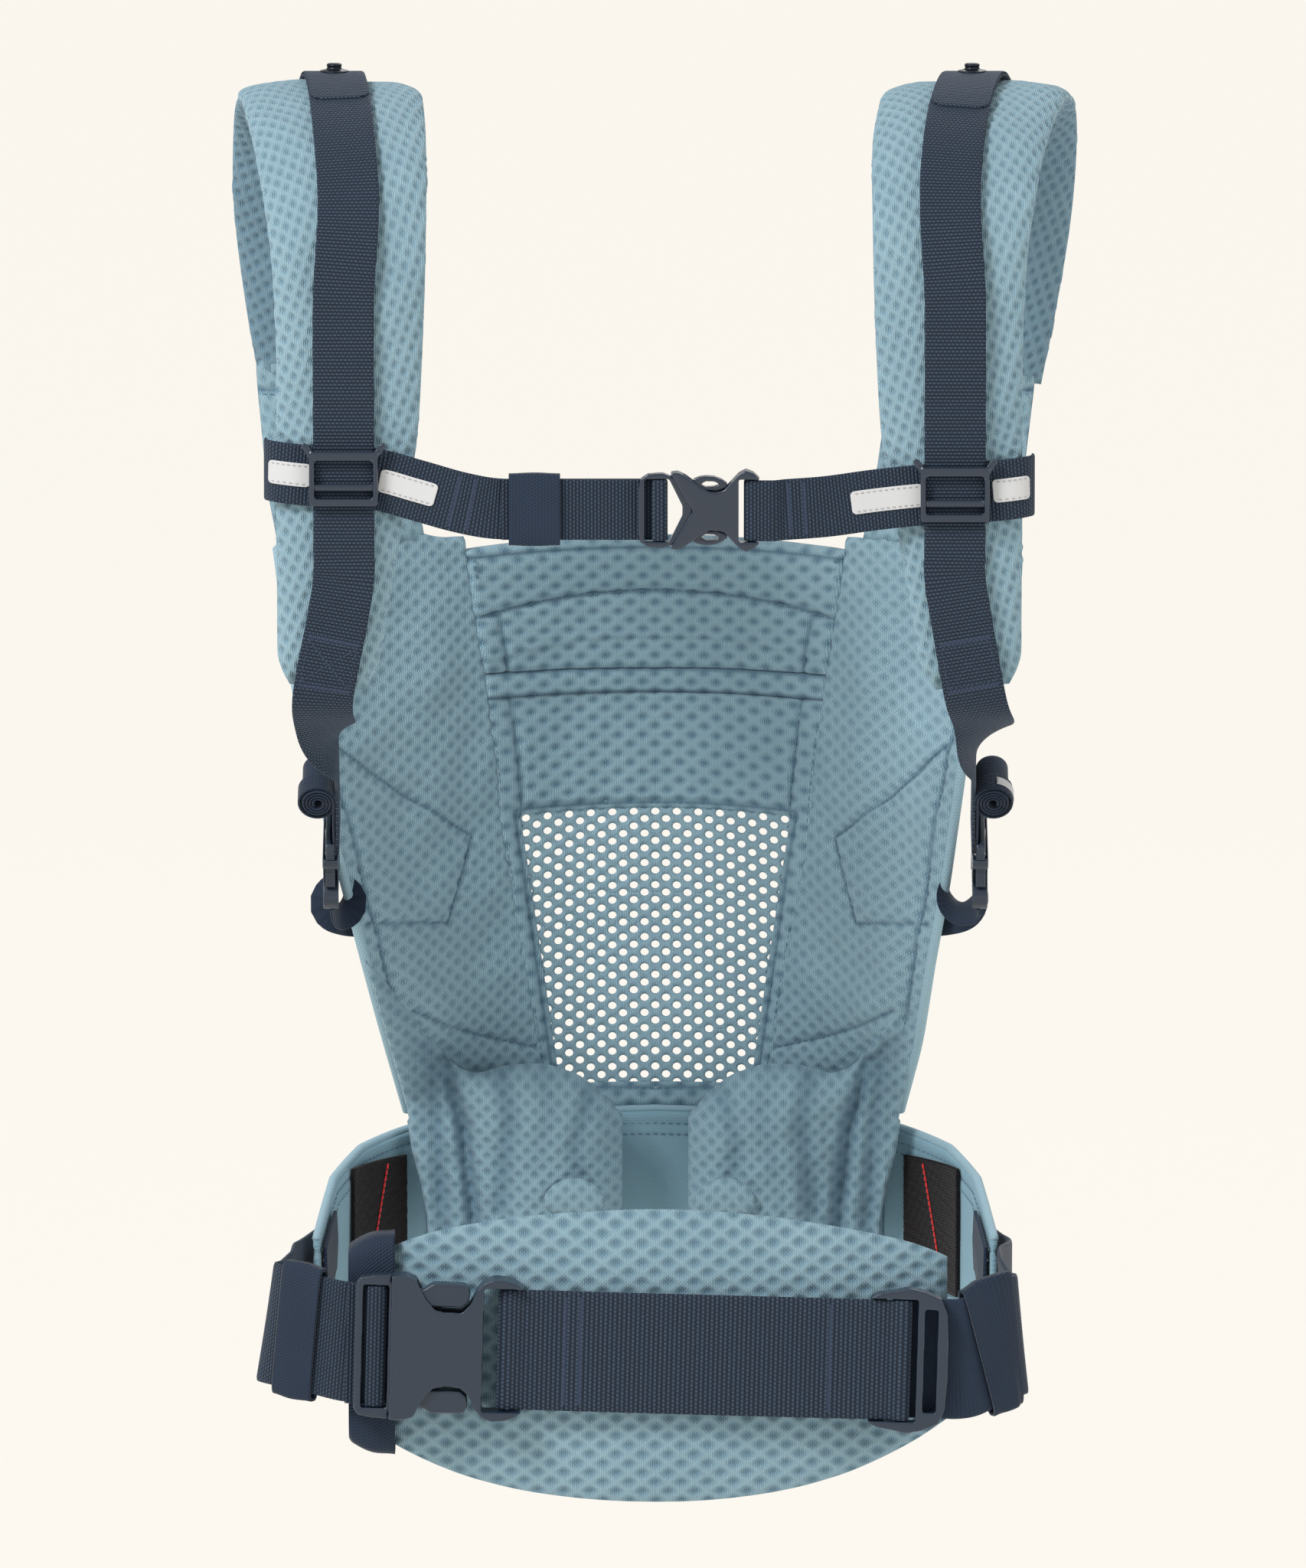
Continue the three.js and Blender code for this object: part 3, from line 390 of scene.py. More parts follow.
def buildRibs(tree, given):
    # Fine upright ribs of pitch Rib, each broken into loops of length Loop, every other rib shifted by half.
    parts = tree.nodes.new("ShaderNodeSeparateXYZ")
    tree.links.new(given["Cloth"], parts.inputs[0])
    wobble = calc(tree, "MULTIPLY", grainNoise(tree, given["Cloth"], 0.35, 2), 0.9)
    u = calc(tree, "DIVIDE", calc(tree, "ADD", parts.outputs[0], wobble), given["Rib"])
    shift = calc(tree, "MULTIPLY", calc(tree, "FLOOR", u), 0.5)
    v = calc(tree, "ADD", calc(tree, "DIVIDE", parts.outputs[1], given["Loop"]), shift)
    rib = cosine(tree, calc(tree, "SUBTRACT", u, 0.5))
    loop = cosine(tree, v)
    uneven = grainNoise(tree, given["Cloth"], 1.6, 2)
    height = calc(tree, "MULTIPLY", rib, calc(tree, "MULTIPLY_ADD", loop, 0.5, 0.5))
    # Bright is a painted highlight on the raised loops, uneven from loop to loop.
    bright = calc(tree, "MULTIPLY", height, calc(tree, "MULTIPLY_ADD", uneven, 1.4, 0.1), clamp=True)
    return [height, bright]


def buildRows(tree, given):
    # Webbing: rows across the web of pitch Row, each made of dashes of pitch Dash, shifted by half row by row.
    parts = tree.nodes.new("ShaderNodeSeparateXYZ")
    tree.links.new(given["Cloth"], parts.inputs[0])
    v = calc(tree, "DIVIDE", parts.outputs[1], given["Row"])
    shift = calc(tree, "MULTIPLY", calc(tree, "FLOOR", v), 0.5)
    u = calc(tree, "ADD", calc(tree, "DIVIDE", parts.outputs[0], given["Dash"]), shift)
    row = cosine(tree, calc(tree, "SUBTRACT", v, 0.5))
    dash = cosine(tree, u)
    height = calc(tree, "MULTIPLY", calc(tree, "POWER", row, 0.7), calc(tree, "MULTIPLY_ADD", dash, 0.6, 0.4))
    uneven = grainNoise(tree, given["Cloth"], 0.8, 2)
    # Bright is a painted highlight on the raised dashes.
    bright = calc(tree, "MULTIPLY", calc(tree, "POWER", height, 1.6), calc(tree, "ADD", uneven, 0.45), clamp=True)
    return [height, bright]


def buildTwill(tree, given):
    # Twill: slanting lines of pitch Line across the cloth.
    parts = tree.nodes.new("ShaderNodeSeparateXYZ")
    tree.links.new(given["Cloth"], parts.inputs[0])
    slant = calc(tree, "MULTIPLY_ADD", parts.outputs[1], 0.55, parts.outputs[0])
    line = cosine(tree, calc(tree, "DIVIDE", slant, given["Line"]))
    cross = cosine(tree, calc(tree, "DIVIDE", parts.outputs[1], given["Line"]))
    return [calc(tree, "MULTIPLY_ADD", cross, 0.35, calc(tree, "MULTIPLY", line, 0.65))]


def buildCloud(tree, given):
    # Slow changes of tone over the object, from 0 to 1.
    wide = grainNoise(tree, given["Place"], 14, 3)
    small = grainNoise(tree, given["Place"], 90, 3)
    return [calc(tree, "MULTIPLY_ADD", small, 0.35, calc(tree, "MULTIPLY", wide, 0.65))]


cloth = ("Cloth", "NodeSocketVector", None)
hollowGroup = effect("knitHollows", [cloth, ("Row A", "NodeSocketVector", None), ("Row B", "NodeSocketVector", None)],
                     [("Hollow", "NodeSocketFloat")], buildHollows)
ribGroup = effect("knitRibs", [cloth, ("Rib", "NodeSocketFloat", 0.75), ("Loop", "NodeSocketFloat", 1.6)],
                  [("Height", "NodeSocketFloat"), ("Bright", "NodeSocketFloat")], buildRibs)
rowGroup = effect("webRows", [cloth, ("Row", "NodeSocketFloat", 1.45), ("Dash", "NodeSocketFloat", 1.7)],
                  [("Height", "NodeSocketFloat"), ("Bright", "NodeSocketFloat")], buildRows)
twillGroup = effect("twillLines", [cloth, ("Line", "NodeSocketFloat", 0.9)], [("Height", "NodeSocketFloat")],
                    buildTwill)
cloudGroup = effect("toneCloud", [("Place", "NodeSocketVector", None)], [("Tone", "NodeSocketFloat")], buildCloud)


def useEffect(tree, group, **values):
    node = tree.nodes.new("ShaderNodeGroup")
    node.node_tree = group
    for label, value in values.items():
        wire(tree, node.inputs[label.replace("_", " ")], value)
    return node.outputs


def startMaterial(name, roughness, sheen=0.0, sheenTint=None, specular=0.5):
    material = bpy.data.materials.new(name)
    material.use_nodes = True
    tree = material.node_tree
    shader = tree.nodes["Principled BSDF"]
    shader.inputs["Roughness"].default_value = roughness
    shader.inputs["Specular IOR Level"].default_value = specular
    if sheen:
        shader.inputs["Sheen Weight"].default_value = sheen
        shader.inputs["Sheen Roughness"].default_value = 0.4
        shader.inputs["Sheen Tint"].default_value = sheenTint or (1, 1, 1, 1)
    coords = tree.nodes.new("ShaderNodeTexCoord")
    return material, tree, shader, coords.outputs["UV"], coords.outputs["Object"]


def finishMaterial(tree, shader, colour, height, strength, distance):
    bump = tree.nodes.new("ShaderNodeBump")
    bump.inputs["Strength"].default_value = strength
    bump.inputs["Distance"].default_value = distance
    wire(tree, bump.inputs["Height"], height)
    tree.links.new(bump.outputs[0], shader.inputs["Normal"])
    wire(tree, shader.inputs["Base Color"], colour)


def shadeMask(tree):
    node = tree.nodes.new("ShaderNodeAttribute")
    node.attribute_name = "shade"
    return node.outputs["Fac"]


# Lattices: where the next hollow lies along each of the knit's two slanting rows, across and along the cloth.
lattices = {
    "wide": ((5.4, 4.0), (5.4, -4.0)),
    "fine": ((-3.9, 2.8), (1.7, 4.7)),
    "square": ((3.4, 3.4), (3.4, -3.4)),
}


def reciprocal(lattice):
    (au, av), (bu, bv) = lattices[lattice]
    size = au * bv - av * bu
    return (bv / size, -bu / size, 0), (-av / size, au / size, 0)


def hollows(u, v, lattice):  # the same product of cosines as the shader's, from 0 on the ridges to 1 in a hollow
    rowA, rowB = reciprocal(lattice)
    waves = [0.5 + 0.5 * np.cos(2 * np.pi * (u * row[0] + v * row[1])) for row in (rowA, rowB)]
    return waves[0] * waves[1]


# Knit colours: dark is partly the knit's own darker hollows and partly painted shade, ridge is a painted highlight on
# the rib loops, and seam is the colour of the painted shade along seams and creases.
knitLook = {
    "light": linear(160, 194, 207), "dark": linear(66, 107, 132), "ridge": linear(200, 222, 232),
    "rib": 0.75, "loop": 1.6, "bump": 0.6, "hollowShare": 0.9, "seam": linear(56, 90, 117),
}


def knitMaterial(name, lattice, look=knitLook, hollowShare=None, tone=1.0, spread=1.0):
    material, tree, shader, uv, place3 = startMaterial(name, 0.92, 0.25, (0.8, 0.9, 1, 1), 0.25)
    rowA, rowB = reciprocal(lattice)
    hollow = useEffect(tree, hollowGroup, Cloth=uv, Row_A=rowA, Row_B=rowB)["Hollow"]
    ribs = useEffect(tree, ribGroup, Cloth=uv, Rib=look["rib"], Loop=look["loop"])
    cloud = useEffect(tree, cloudGroup, Place=place3)["Tone"]
    # the knit's hollows are darker: partly the knit's own colour, partly painted shade
    depth = calc(tree, "MULTIPLY", calc(tree, "POWER", hollow, spread), hollowShare or look["hollowShare"])
    colour = blendColour(tree, depth, look["light"], look["dark"])
    # lighter on the raised rib loops: a painted highlight
    colour = blendColour(tree, calc(tree, "MULTIPLY", ribs["Bright"], 0.55), colour, look["ridge"])
    shadow = calc(tree, "MULTIPLY", calc(tree, "SUBTRACT", 1.0, ribs["Height"]), 0.3)
    colour = blendColour(tree, shadow, colour, look["dark"])
    colour = blendColour(tree, calc(tree, "MULTIPLY_ADD", cloud, 0.5, -0.12, clamp=True), colour, look["dark"])
    # the shade attribute mixes in the seam colour, a painted shade along seams and in creases and hollows
    colour = blendColour(tree, shadeMask(tree), colour, look["seam"])
    colour = blendColour(tree, 1.0, colour, (tone, tone, tone, 1), "MULTIPLY")
    height = calc(tree, "MULTIPLY_ADD", hollow, -1.6, ribs["Height"])
    finishMaterial(tree, shader, colour, height, look["bump"], 0.0005)
    return material


webLook = {
    "dark": linear(13, 26, 42), "light": linear(78, 99, 124), "row": 1.45, "dash": 1.7, "bump": 0.9,
}


def webMaterial(name, look=webLook, row=None, share=0.85):
    material, tree, shader, uv, place3 = startMaterial(name, 0.72, 0.15, (0.6, 0.7, 0.9, 1), 0.35)
    rows = useEffect(tree, rowGroup, Cloth=uv, Row=row or look["row"], Dash=look["dash"])
    cloud = useEffect(tree, cloudGroup, Place=place3)["Tone"]
    # lighter on the raised dashes: a painted highlight
    bright = calc(tree, "MULTIPLY", rows["Bright"], share)
    colour = blendColour(tree, bright, look["dark"], look["light"])
    colour = blendColour(tree, calc(tree, "MULTIPLY", cloud, 0.25), colour, look["dark"])
    finishMaterial(tree, shader, colour, rows["Height"], look["bump"], 0.0005)
    return material


def twillMaterial(name, dark, light, line=0.9, bump=0.4, rough=0.8, sheen=0.2):
    material, tree, shader, uv, place3 = startMaterial(name, rough, sheen, None, 0.3)
    height = useEffect(tree, twillGroup, Cloth=uv, Line=line)["Height"]
    cloud = useEffect(tree, cloudGroup, Place=place3)["Tone"]
    # lighter along the raised twill lines, a painted highlight, half mixed with a slow random tone
    share = calc(tree, "MULTIPLY_ADD", height, 0.5, calc(tree, "MULTIPLY", cloud, 0.5), clamp=True)
    colour = blendColour(tree, share, dark, light)
    colour = blendColour(tree, shadeMask(tree), colour, dark)
    finishMaterial(tree, shader, colour, height, bump, 0.0003)
    return material


def mouldedMaterial(name, base, speckleAndHighlight, rough, grain, bump, coat=0.0):
    # Moulded plastic: fine speckle, a slow change of gloss, and paler edges that are a painted highlight.
    material, tree, shader, uv, place3 = startMaterial(name, rough, 0, None, 0.5)
    shader.inputs["Coat Weight"].default_value = coat
    shader.inputs["Coat Roughness"].default_value = 0.25
    speckle = grainNoise(tree, place3, grain, 3, 0.6)
    cloud = useEffect(tree, cloudGroup, Place=place3)["Tone"]
    # sharp edges, found by pointiness, are painted paler: a painted highlight
    edge = tree.nodes.new("ShaderNodeNewGeometry").outputs["Pointiness"]
    edgeHighlight = calc(tree, "MULTIPLY", calc(tree, "SUBTRACT", edge, 0.52), 6.0, clamp=True)
    colour = blendColour(tree, calc(tree, "MULTIPLY", speckle, 0.1), base, speckleAndHighlight)
    colour = blendColour(tree, calc(tree, "MULTIPLY", edgeHighlight, 0.6), colour, speckleAndHighlight)
    wire(tree, shader.inputs["Roughness"], calc(tree, "MULTIPLY_ADD", cloud, 0.16, rough - 0.08))
    finishMaterial(tree, shader, colour, speckle, bump, 0.0002)
    return material


def plainThread(name, base, light):
    material, tree, shader, uv, place3 = startMaterial(name, 0.6, 0.3, None, 0.4)
    twist = grainNoise(tree, place3, 1800, 2)
    finishMaterial(tree, shader, blendColour(tree, twist, base, light), twist, 0.4, 0.0002)
    return material


knitWide = knitMaterial("dimpledKnitWide", "wide")
knitFine = knitMaterial("dimpledKnitFine", "fine", hollowShare=0.55, spread=0.8)
knitLumbar = knitMaterial("dimpledKnitLumbar", "wide", hollowShare=0.78, spread=0.55)
knitSquare = knitMaterial("dimpledKnitSquare", "square", hollowShare=0.62, spread=0.65)
netKnit = knitMaterial("openNetKnit", "wide", hollowShare=0.05)
liningTwill = twillMaterial("liningTwill", linear(112, 152, 172), linear(160, 194, 208), 1.1)
pipingKnit = twillMaterial("pipingKnit", linear(120, 160, 178), linear(180, 206, 218), 1.3)
navyWeb = webMaterial("navyWebbing")
navyFront = webMaterial("navyWaistWebbing", row=1.9)
navyElastic = twillMaterial("navyElastic", linear(14, 27, 44), linear(40, 58, 82), 1.3, 0.8, 0.7)
navyTape = twillMaterial("navyTape", linear(14, 27, 44), linear(46, 63, 87), 1.0, 0.5, 0.75)
hookTape = twillMaterial("hookTape", linear(8, 7, 9), linear(34, 28, 32), 1.2, 1.0, 0.95, 0.1)
redThread = plainThread("redThread", linear(196, 22, 26), linear(236, 52, 48))
blueThread = plainThread("blueThread", linear(70, 104, 128), linear(112, 146, 166))
navyThread = plainThread("navyThread", linear(30, 43, 68), linear(66, 82, 112))
greyThread = plainThread("greyThread", linear(150, 152, 158), linear(190, 192, 196))
brightTape = twillMaterial("reflectiveTape", linear(198, 200, 202), linear(226, 227, 229), 0.5, 0.15, 0.45, 0)
chestPlastic = mouldedMaterial("satinNavyPlastic", linear(20, 34, 52), linear(92, 112, 138), 0.3, 1500, 0.06, 0.5)
waistPlastic = mouldedMaterial("grainedNavyPlastic", linear(23, 38, 56), linear(92, 112, 136), 0.38, 1900, 0.22, 0.3)
darkMetal = mouldedMaterial("lacqueredMetal", linear(28, 34, 44), linear(90, 96, 110), 0.3, 600, 0.05)
darkMetal.node_tree.nodes["Principled BSDF"].inputs["Metallic"].default_value = 0.6
print("materials made:", len(bpy.data.materials))


# ---- padding: cloth blown up between its seams ----
padding = {"pressure": 4.0, "frames": 20, "mass": 0.3, "bend": 3.0}


def inflate(name, front, back, cap):
    # Runs Blender's cloth on a pillow of two grids whose border is held, and caps how far a point moves.
    points, quads, inner = pillow(front, back)
    piece = makeMesh(name, points, quads)
    held = piece.vertex_groups.new(name="seam")
    border = np.flatnonzero(~inner.ravel())
    held.add([int(k) for k in border], 1.0, "REPLACE")
    cloth = piece.modifiers.new("cloth", "CLOTH")
    settings = cloth.settings
    settings.use_pressure = True
    settings.uniform_pressure_force = padding["pressure"]
    settings.effector_weights.gravity = 0
    settings.mass = padding["mass"]
    settings.bending_stiffness = padding["bend"]
    settings.vertex_group_mass = "seam"
    cloth.point_cache.frame_start = 1
    cloth.point_cache.frame_end = padding["frames"]
    scene = bpy.context.scene
    for number in range(1, padding["frames"] + 1):
        scene.frame_set(number)
    ready = piece.evaluated_get(bpy.context.evaluated_depsgraph_get())
    moved = np.empty(len(points) * 3)
    ready.data.vertices.foreach_get("co", moved)
    bpy.data.objects.remove(piece)
    scene.frame_set(1)
    shift = moved.reshape(-1, 3) / mm - points
    reach = np.linalg.norm(shift, axis=1, keepdims=True)
    points = points + shift * np.minimum(1, cap / np.maximum(reach, 1e-6))
    n = front.shape[0] * front.shape[1]
    front = points[:n].reshape(front.shape)
    back = back.copy()
    back[:] = front
    back[inner] = points[n:]
    return front, back


# ---- the body panel ----
panelCloth = {
    "thick": 5.0, "cell": 1.25, "hollow": 0.8, "seamDepth": 1.5, "seamWidth": 1.5, "edgeReach": 3.0,
    "bandTop": 314.2, "bandLow": 303.2, "headHalf": 4.5, "innerSeam": 10.5,
}
edgeLeft = [(110, 101), (124, 104), (163, 113), (203, 122), (233, 129), (292, 144), (321, 151), (359, 156.5),
            (377, 159), (398, 163), (445, 168)]
edgeNarrower = [(110, 1), (163, 2), (203, 6), (233, 8), (292, 15), (359, 10), (445, 8)]
edgeDepth = [(110, 100), (124, 95), (150, 72), (180, 48), (210, 30), (240, 20), (290, 18), (330, 32), (370, 52),
             (400, 62), (445, 69)]
backDepth = [(110, 110), (126, 113), (150, 124), (200, 138), (250, 142), (300, 138), (340, 128), (376, 115),
             (445, 95)]
seamHalf = [(110, 45), (133, 48), (149, 51), (191, 58), (245, 67.5), (266, 69), (310, 74), (345, 79.5), (372, 82.5)]
meshWindow = {"bottom": 137.0, "top": 252.0, "halfBottom": 41.0, "halfTop": 58.0}
beltTop = [(0, 126), (60, 124.5), (103, 120.5), (125, 116), (136, 108), (142, 91)]


def edgeX(s, z):
    return table(edgeLeft, z, 8) - np.where(np.asarray(s) > 0, table(edgeNarrower, z, 8), 0)


def panelPoint(x, z):  # a parabola across the trough at every height
    ye = table(edgeDepth, z, 10)
    return vec(x, ye + (table(backDepth, z, 10) - ye) * (1 - (x / edgeX(x, z)) ** 2), z)


def panelNormal(x, z):
    return unit(np.cross(panelPoint(x, z + 3) - panelPoint(x, z - 3), panelPoint(x + 0.5, z) - panelPoint(x - 0.5, z)))


def seamLine(z):
    return table(seamHalf, z, 8)


def windowHalf(z):
    w = meshWindow
    return mix(w["halfBottom"], w["halfTop"], np.clip((z - w["bottom"]) / (w["top"] - w["bottom"]), 0, 1))


def channel(distance, width=None, depth=None):
    c = panelCloth
    return -(depth or c["seamDepth"]) * np.exp(-(distance / (width or c["seamWidth"])) ** 2)


def edgeRound(distance, least=0.3):  # a quarter circle that thins cloth towards its sewn edge
    t = np.clip(distance / panelCloth["edgeReach"], 0, 1)
    return least + (1 - least) * np.sqrt(1 - (1 - t) ** 2)


def panelSheet(name, x, z, half, relief, shade, material, border, keep=None, behind=None, lattice="wide", back=None):
    # The front faces the wearer. Thickness is half * edgeRound(border); relief lifts the front, behind the back.
    point, normal = panelPoint(x, z), panelNormal(x, z)
    thick = (half * edgeRound(border))[..., None]
    front = point - normal * (thick + relief[..., None])
    rear = point + normal * (thick + (relief if behind is None else behind)[..., None])
    points, quads = shell(front, rear, keep)
    uv = np.stack([x, z], -1).reshape(-1, 2)
    tone = shade.ravel()
    return makeMesh(name, points, quads, np.vstack([uv, uv]), material, np.concatenate([tone, tone]))


def seamShade(distance, width=1.1):
    return 0.6 * np.exp(-(distance / (width * 0.85)) ** 2)


def centrePanel():
    c, w = panelCloth, meshWindow
    strip, middle = 9, 84
    low, windowRows, high = 9, 92, 42
    nx, nz = 2 * strip + middle + 1, low + windowRows + high + 1
    a, b = np.meshgrid(np.arange(nx), np.arange(nz), indexing="ij")
    z = np.interp(b, [0, low, low + windowRows, nz - 1], [127, w["bottom"], w["top"], c["bandLow"]])
    for _ in range(2):  # the panel's lower edge follows the belt's top, which depends on x
        seam, win = seamLine(z) - 0.2, windowHalf(z)
        places = [-1.0 * seam, -win, win, seam]
        left = mix(places[0], places[1], np.clip(a / strip, 0, 1))
        centre = mix(places[1], places[2], np.clip((a - strip) / middle, 0, 1))
        right = mix(places[2], places[3], np.clip((a - strip - middle) / strip, 0, 1))
        x = np.where(a < strip, left, np.where(a <= strip + middle, centre, right))
        bottom = table(beltTop, np.abs(x)) + 1.4
        z = np.where(b < low, mix(bottom, w["bottom"], b / low), z)
    cellA, cellB = a[:-1, :-1], b[:-1, :-1]
    inWindow = (cellA >= strip) & (cellA < strip + middle) & (cellB >= low) & (cellB < low + windowRows)
    inner = np.abs(np.abs(x) - (seamLine(z) - c["innerSeam"]))
    inner = np.where(z > w["top"] - 2, inner, 99)
    rim = np.maximum(np.abs(x) - windowHalf(z), np.maximum(w["bottom"] - z, z - w["top"]))
    rimSeam = np.abs(rim - 2.6)
    sewn = np.minimum(inner, rimSeam)
    border = np.minimum.reduce([seamLine(z) - np.abs(x), c["bandLow"] - z + 0.2, z - bottom, np.maximum(rim, 0)])
    plain = ease((rim - 0.5) / 3)
    band = (np.abs(x) > seamLine(z) - c["innerSeam"]).astype(float)
    relief = -c["hollow"] * hollows(x, z, "wide") * plain * (1 - 0.5 * band) + channel(sewn)
    relief += 0.5 * noise2(x, z, 3, 55) * plain
    piece = panelSheet("centrePanel", x, z, c["thick"] / 2, relief, seamShade(sewn), knitWide, border, ~inWindow)
    place(piece, "carrier", "knit", "centre_panel")
    runs = []
    for s in (-1, 1):
        zs = np.linspace(256, 301, 60)
        runs.append(onPanel(s * (seamLine(zs) - c["innerSeam"]), zs, 1.0))
        zs = np.linspace(139, 252, 90)
        runs.append(onPanel(s * (windowHalf(zs) + 2.6), zs, 1.0))
        zs = np.linspace(132, 301, 120)
        runs.append(onPanel(s * (seamLine(zs) - 1.8), zs, 2.1))
    xs = np.linspace(-57, 57, 90)
    runs.append(onPanel(xs, np.full(90, w["top"] + 2.6), 1.0))
    xs = np.linspace(-42, 42, 60)
    runs.append(onPanel(xs, np.full(60, w["bottom"] - 2.6), 1.0))
    stitchPiece("centrePanelStitches", runs, blueThread, "carrier", "knit")


def onPanel(x, z, lift):  # a row of stitches lying lift in front of the panel's middle surface
    normal = -panelNormal(x, z)
    return stitchesOn(panelPoint(x, z) + normal * lift, normal)


# The see-through net: rounded holes on a staggered lattice, each with its six-sided share of yarn round it.
netCloth = {"across": 4.6, "along": 3.15, "holeX": 1.86, "holeZ": 1.5, "half": 0.8, "hidden": 1.6}


def meshNet():
    n, w = netCloth, meshWindow
    corner = n["along"] * 1.0
    flatX = (n["across"] ** 2 - n["along"] ** 2) / (2 * n["across"])
    tipX = (n["across"] ** 2 + n["along"] ** 2) / (2 * n["across"])
    hexagon = np.array([(tipX, 0), (flatX, corner), (-flatX, corner), (-tipX, 0), (-flatX, -corner), (flatX, -corner)])
    ring = np.stack([hexagon, (hexagon + np.roll(hexagon, -1, 0)) / 2], 1).reshape(-1, 2)
    turn = np.arctan2(ring[:, 1] / n["holeZ"], ring[:, 0] / n["holeX"])
    hole = np.stack([np.cos(turn) * n["holeX"], np.sin(turn) * n["holeZ"]], -1)
    rings = np.stack([ring, mix(ring, hole, 0.55), hole])
    height = np.repeat(np.array([1.0, 0.85, 0.2])[:, None], 12, 1) * n["half"]
    i, j = np.meshgrid(np.arange(-14, 15), np.arange(0, 60), indexing="ij")
    cx = i * n["across"]
    cz = w["bottom"] + (j * 2 + (i % 2)) * n["along"]
    inside = (cz < w["top"] + n["hidden"]) & (np.abs(cx) < windowHalf(cz) + n["hidden"])
    cx, cz = cx[inside], cz[inside]
    x = (cx[:, None, None] + rings[None, :, :, 0]).ravel()
    z = (cz[:, None, None] + rings[None, :, :, 1]).ravel()
    rise = np.broadcast_to(height, (len(cx), 3, 12)).ravel()
    cell = np.swapaxes(quadsOf(12, 3, True), 0, 1).reshape(-1, 4)
    order = np.arange(36).reshape(3, 12).T.ravel()
    faces = (order[cell][None] + (np.arange(len(cx)) * 36)[:, None, None]).reshape(-1, 4)
    key = np.round(np.stack([x, z], -1) * 50).astype(int)
    _, first, merged = np.unique(key, axis=0, return_index=True, return_inverse=True)
    x, z, rise = x[first], z[first], rise[first][:, None]
    faces = merged.ravel()[faces]
    point, normal = panelPoint(x, z), panelNormal(x, z)
    points, quads = closeSheet(point - normal * rise, point + normal * rise, faces)
    uv = np.stack([x, z], -1)
    shade = np.concatenate([0.25 * (1 - rise[:, 0] / n["half"])] * 2)
    piece = makeMesh("meshNet", points, quads, np.vstack([uv, uv]), netKnit, shade)
    place(piece, "carrier", "knit", "mesh_window")


def closeSheet(front, back, faces):
    n = len(front)
    start, end = faces.ravel(), np.roll(faces, -1, axis=1).ravel()
    key = np.minimum(start, end) * n + np.maximum(start, end)
    _, where, count = np.unique(key, return_inverse=True, return_counts=True)
    rim = count[where] == 1
    wall = np.stack([end[rim], start[rim], start[rim] + n, end[rim] + n], -1)
    return np.vstack([front, back]), np.vstack([faces, faces[:, ::-1] + n, wall])


def headSupport():
    # The rest above the fold: an arched seam, a straight one, and a rolled top rim.
    c = panelCloth
    nx, nz = 120, 52
    a, b = np.meshgrid(np.linspace(0, 1, nx), np.linspace(0, 1, nz), indexing="ij")
    z = mix(c["bandTop"], 371, b)
    for _ in range(2):
        half = seamLine(z) - 0.6
        x = mix(-half, half, a)
        top = 372 - 4 * (x / 82) ** 2
        z = mix(c["bandTop"] + 0.2, top, b)
    arch = np.abs(z - archSeam(x))
    side = np.abs(np.abs(x) - (seamLine(z) - c["innerSeam"]))
    side = np.where(z < archSeam(x), side, 99)
    rimSeam = np.abs(top - z - 3.4)
    sewn = np.minimum.reduce([arch, side, rimSeam])
    border = np.minimum.reduce([half - np.abs(x), z - c["bandTop"] + 0.2, top - z])
    puff = 1.6 * np.clip(np.minimum(arch, 14) / 14, 0, 1) ** 0.7 * (z > archSeam(x) - 20)
    wide = ease((top - z - 3) / 3)
    relief = -c["hollow"] * hollows(x, z, "wide") * wide + channel(sewn) + puff * 0.5 + 0.4 * noise2(x, z, 8, 50)
    piece = panelSheet("headSupport", x, z, c["headHalf"] - 0.6, relief, seamShade(sewn), knitWide, border)
    place(piece, "head_support", "knit", "head_support")
    lift = c["headHalf"] - 0.6
    xs = np.linspace(-76, 76, 120)
    runs = [onPanel(xs, archSeam(xs), lift - 0.9), onPanel(xs, 372 - 4 * (xs / 82) ** 2 - 3.4, lift - 0.9)]
    for s in (-1, 1):
        zs = np.linspace(316, 336, 30)
        runs.append(onPanel(s * (seamLine(zs) - c["innerSeam"]), zs, lift - 0.9))
        tackZ = np.linspace(356, 366, 24)
        for shift in (-0.4, 0.4):
            runs.append(onPanel(s * (seamLine(tackZ) - 3.2) + shift, tackZ, lift + 0.7))
    stitchPiece("headSupportStitches", runs, blueThread, "head_support", "knit")


def archSeam(x):
    return 349 - 10.5 * (x / 78) ** 2


def foldBand():
    # The soft strip where the head support meets the body panel.
    c = panelCloth
    a, b = np.meshgrid(np.linspace(-1, 1, 130), np.linspace(0, 1, 13), indexing="ij")
    z = mix(c["bandLow"] + 0.1, c["bandTop"] - 0.1, b)
    half = seamLine(z) - 0.5
    x = a * half
    border = np.minimum.reduce([half - np.abs(x), z - c["bandLow"], c["bandTop"] - z])
    relief = -0.6 * hollows(x, z, "wide") + 0.3
    sewn = np.minimum(z - c["bandLow"], c["bandTop"] - z) - 0.6
    piece = panelSheet("foldBand", x, z, 3.4, relief, seamShade(np.maximum(sewn, 0), 0.8), knitWide, border)
    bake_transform(piece)


# The side panels: a patch behind each side buckle, two darts low down, and a rolled outer edge.
sideLines = {
    "patch": [(-136, 294), (-108, 268), (-79, 246), (-89, 211), (-122, 218)],
    "dartLow": [(-104, 176), (-88, 166), (-74, 160), (-52, 153)],
}


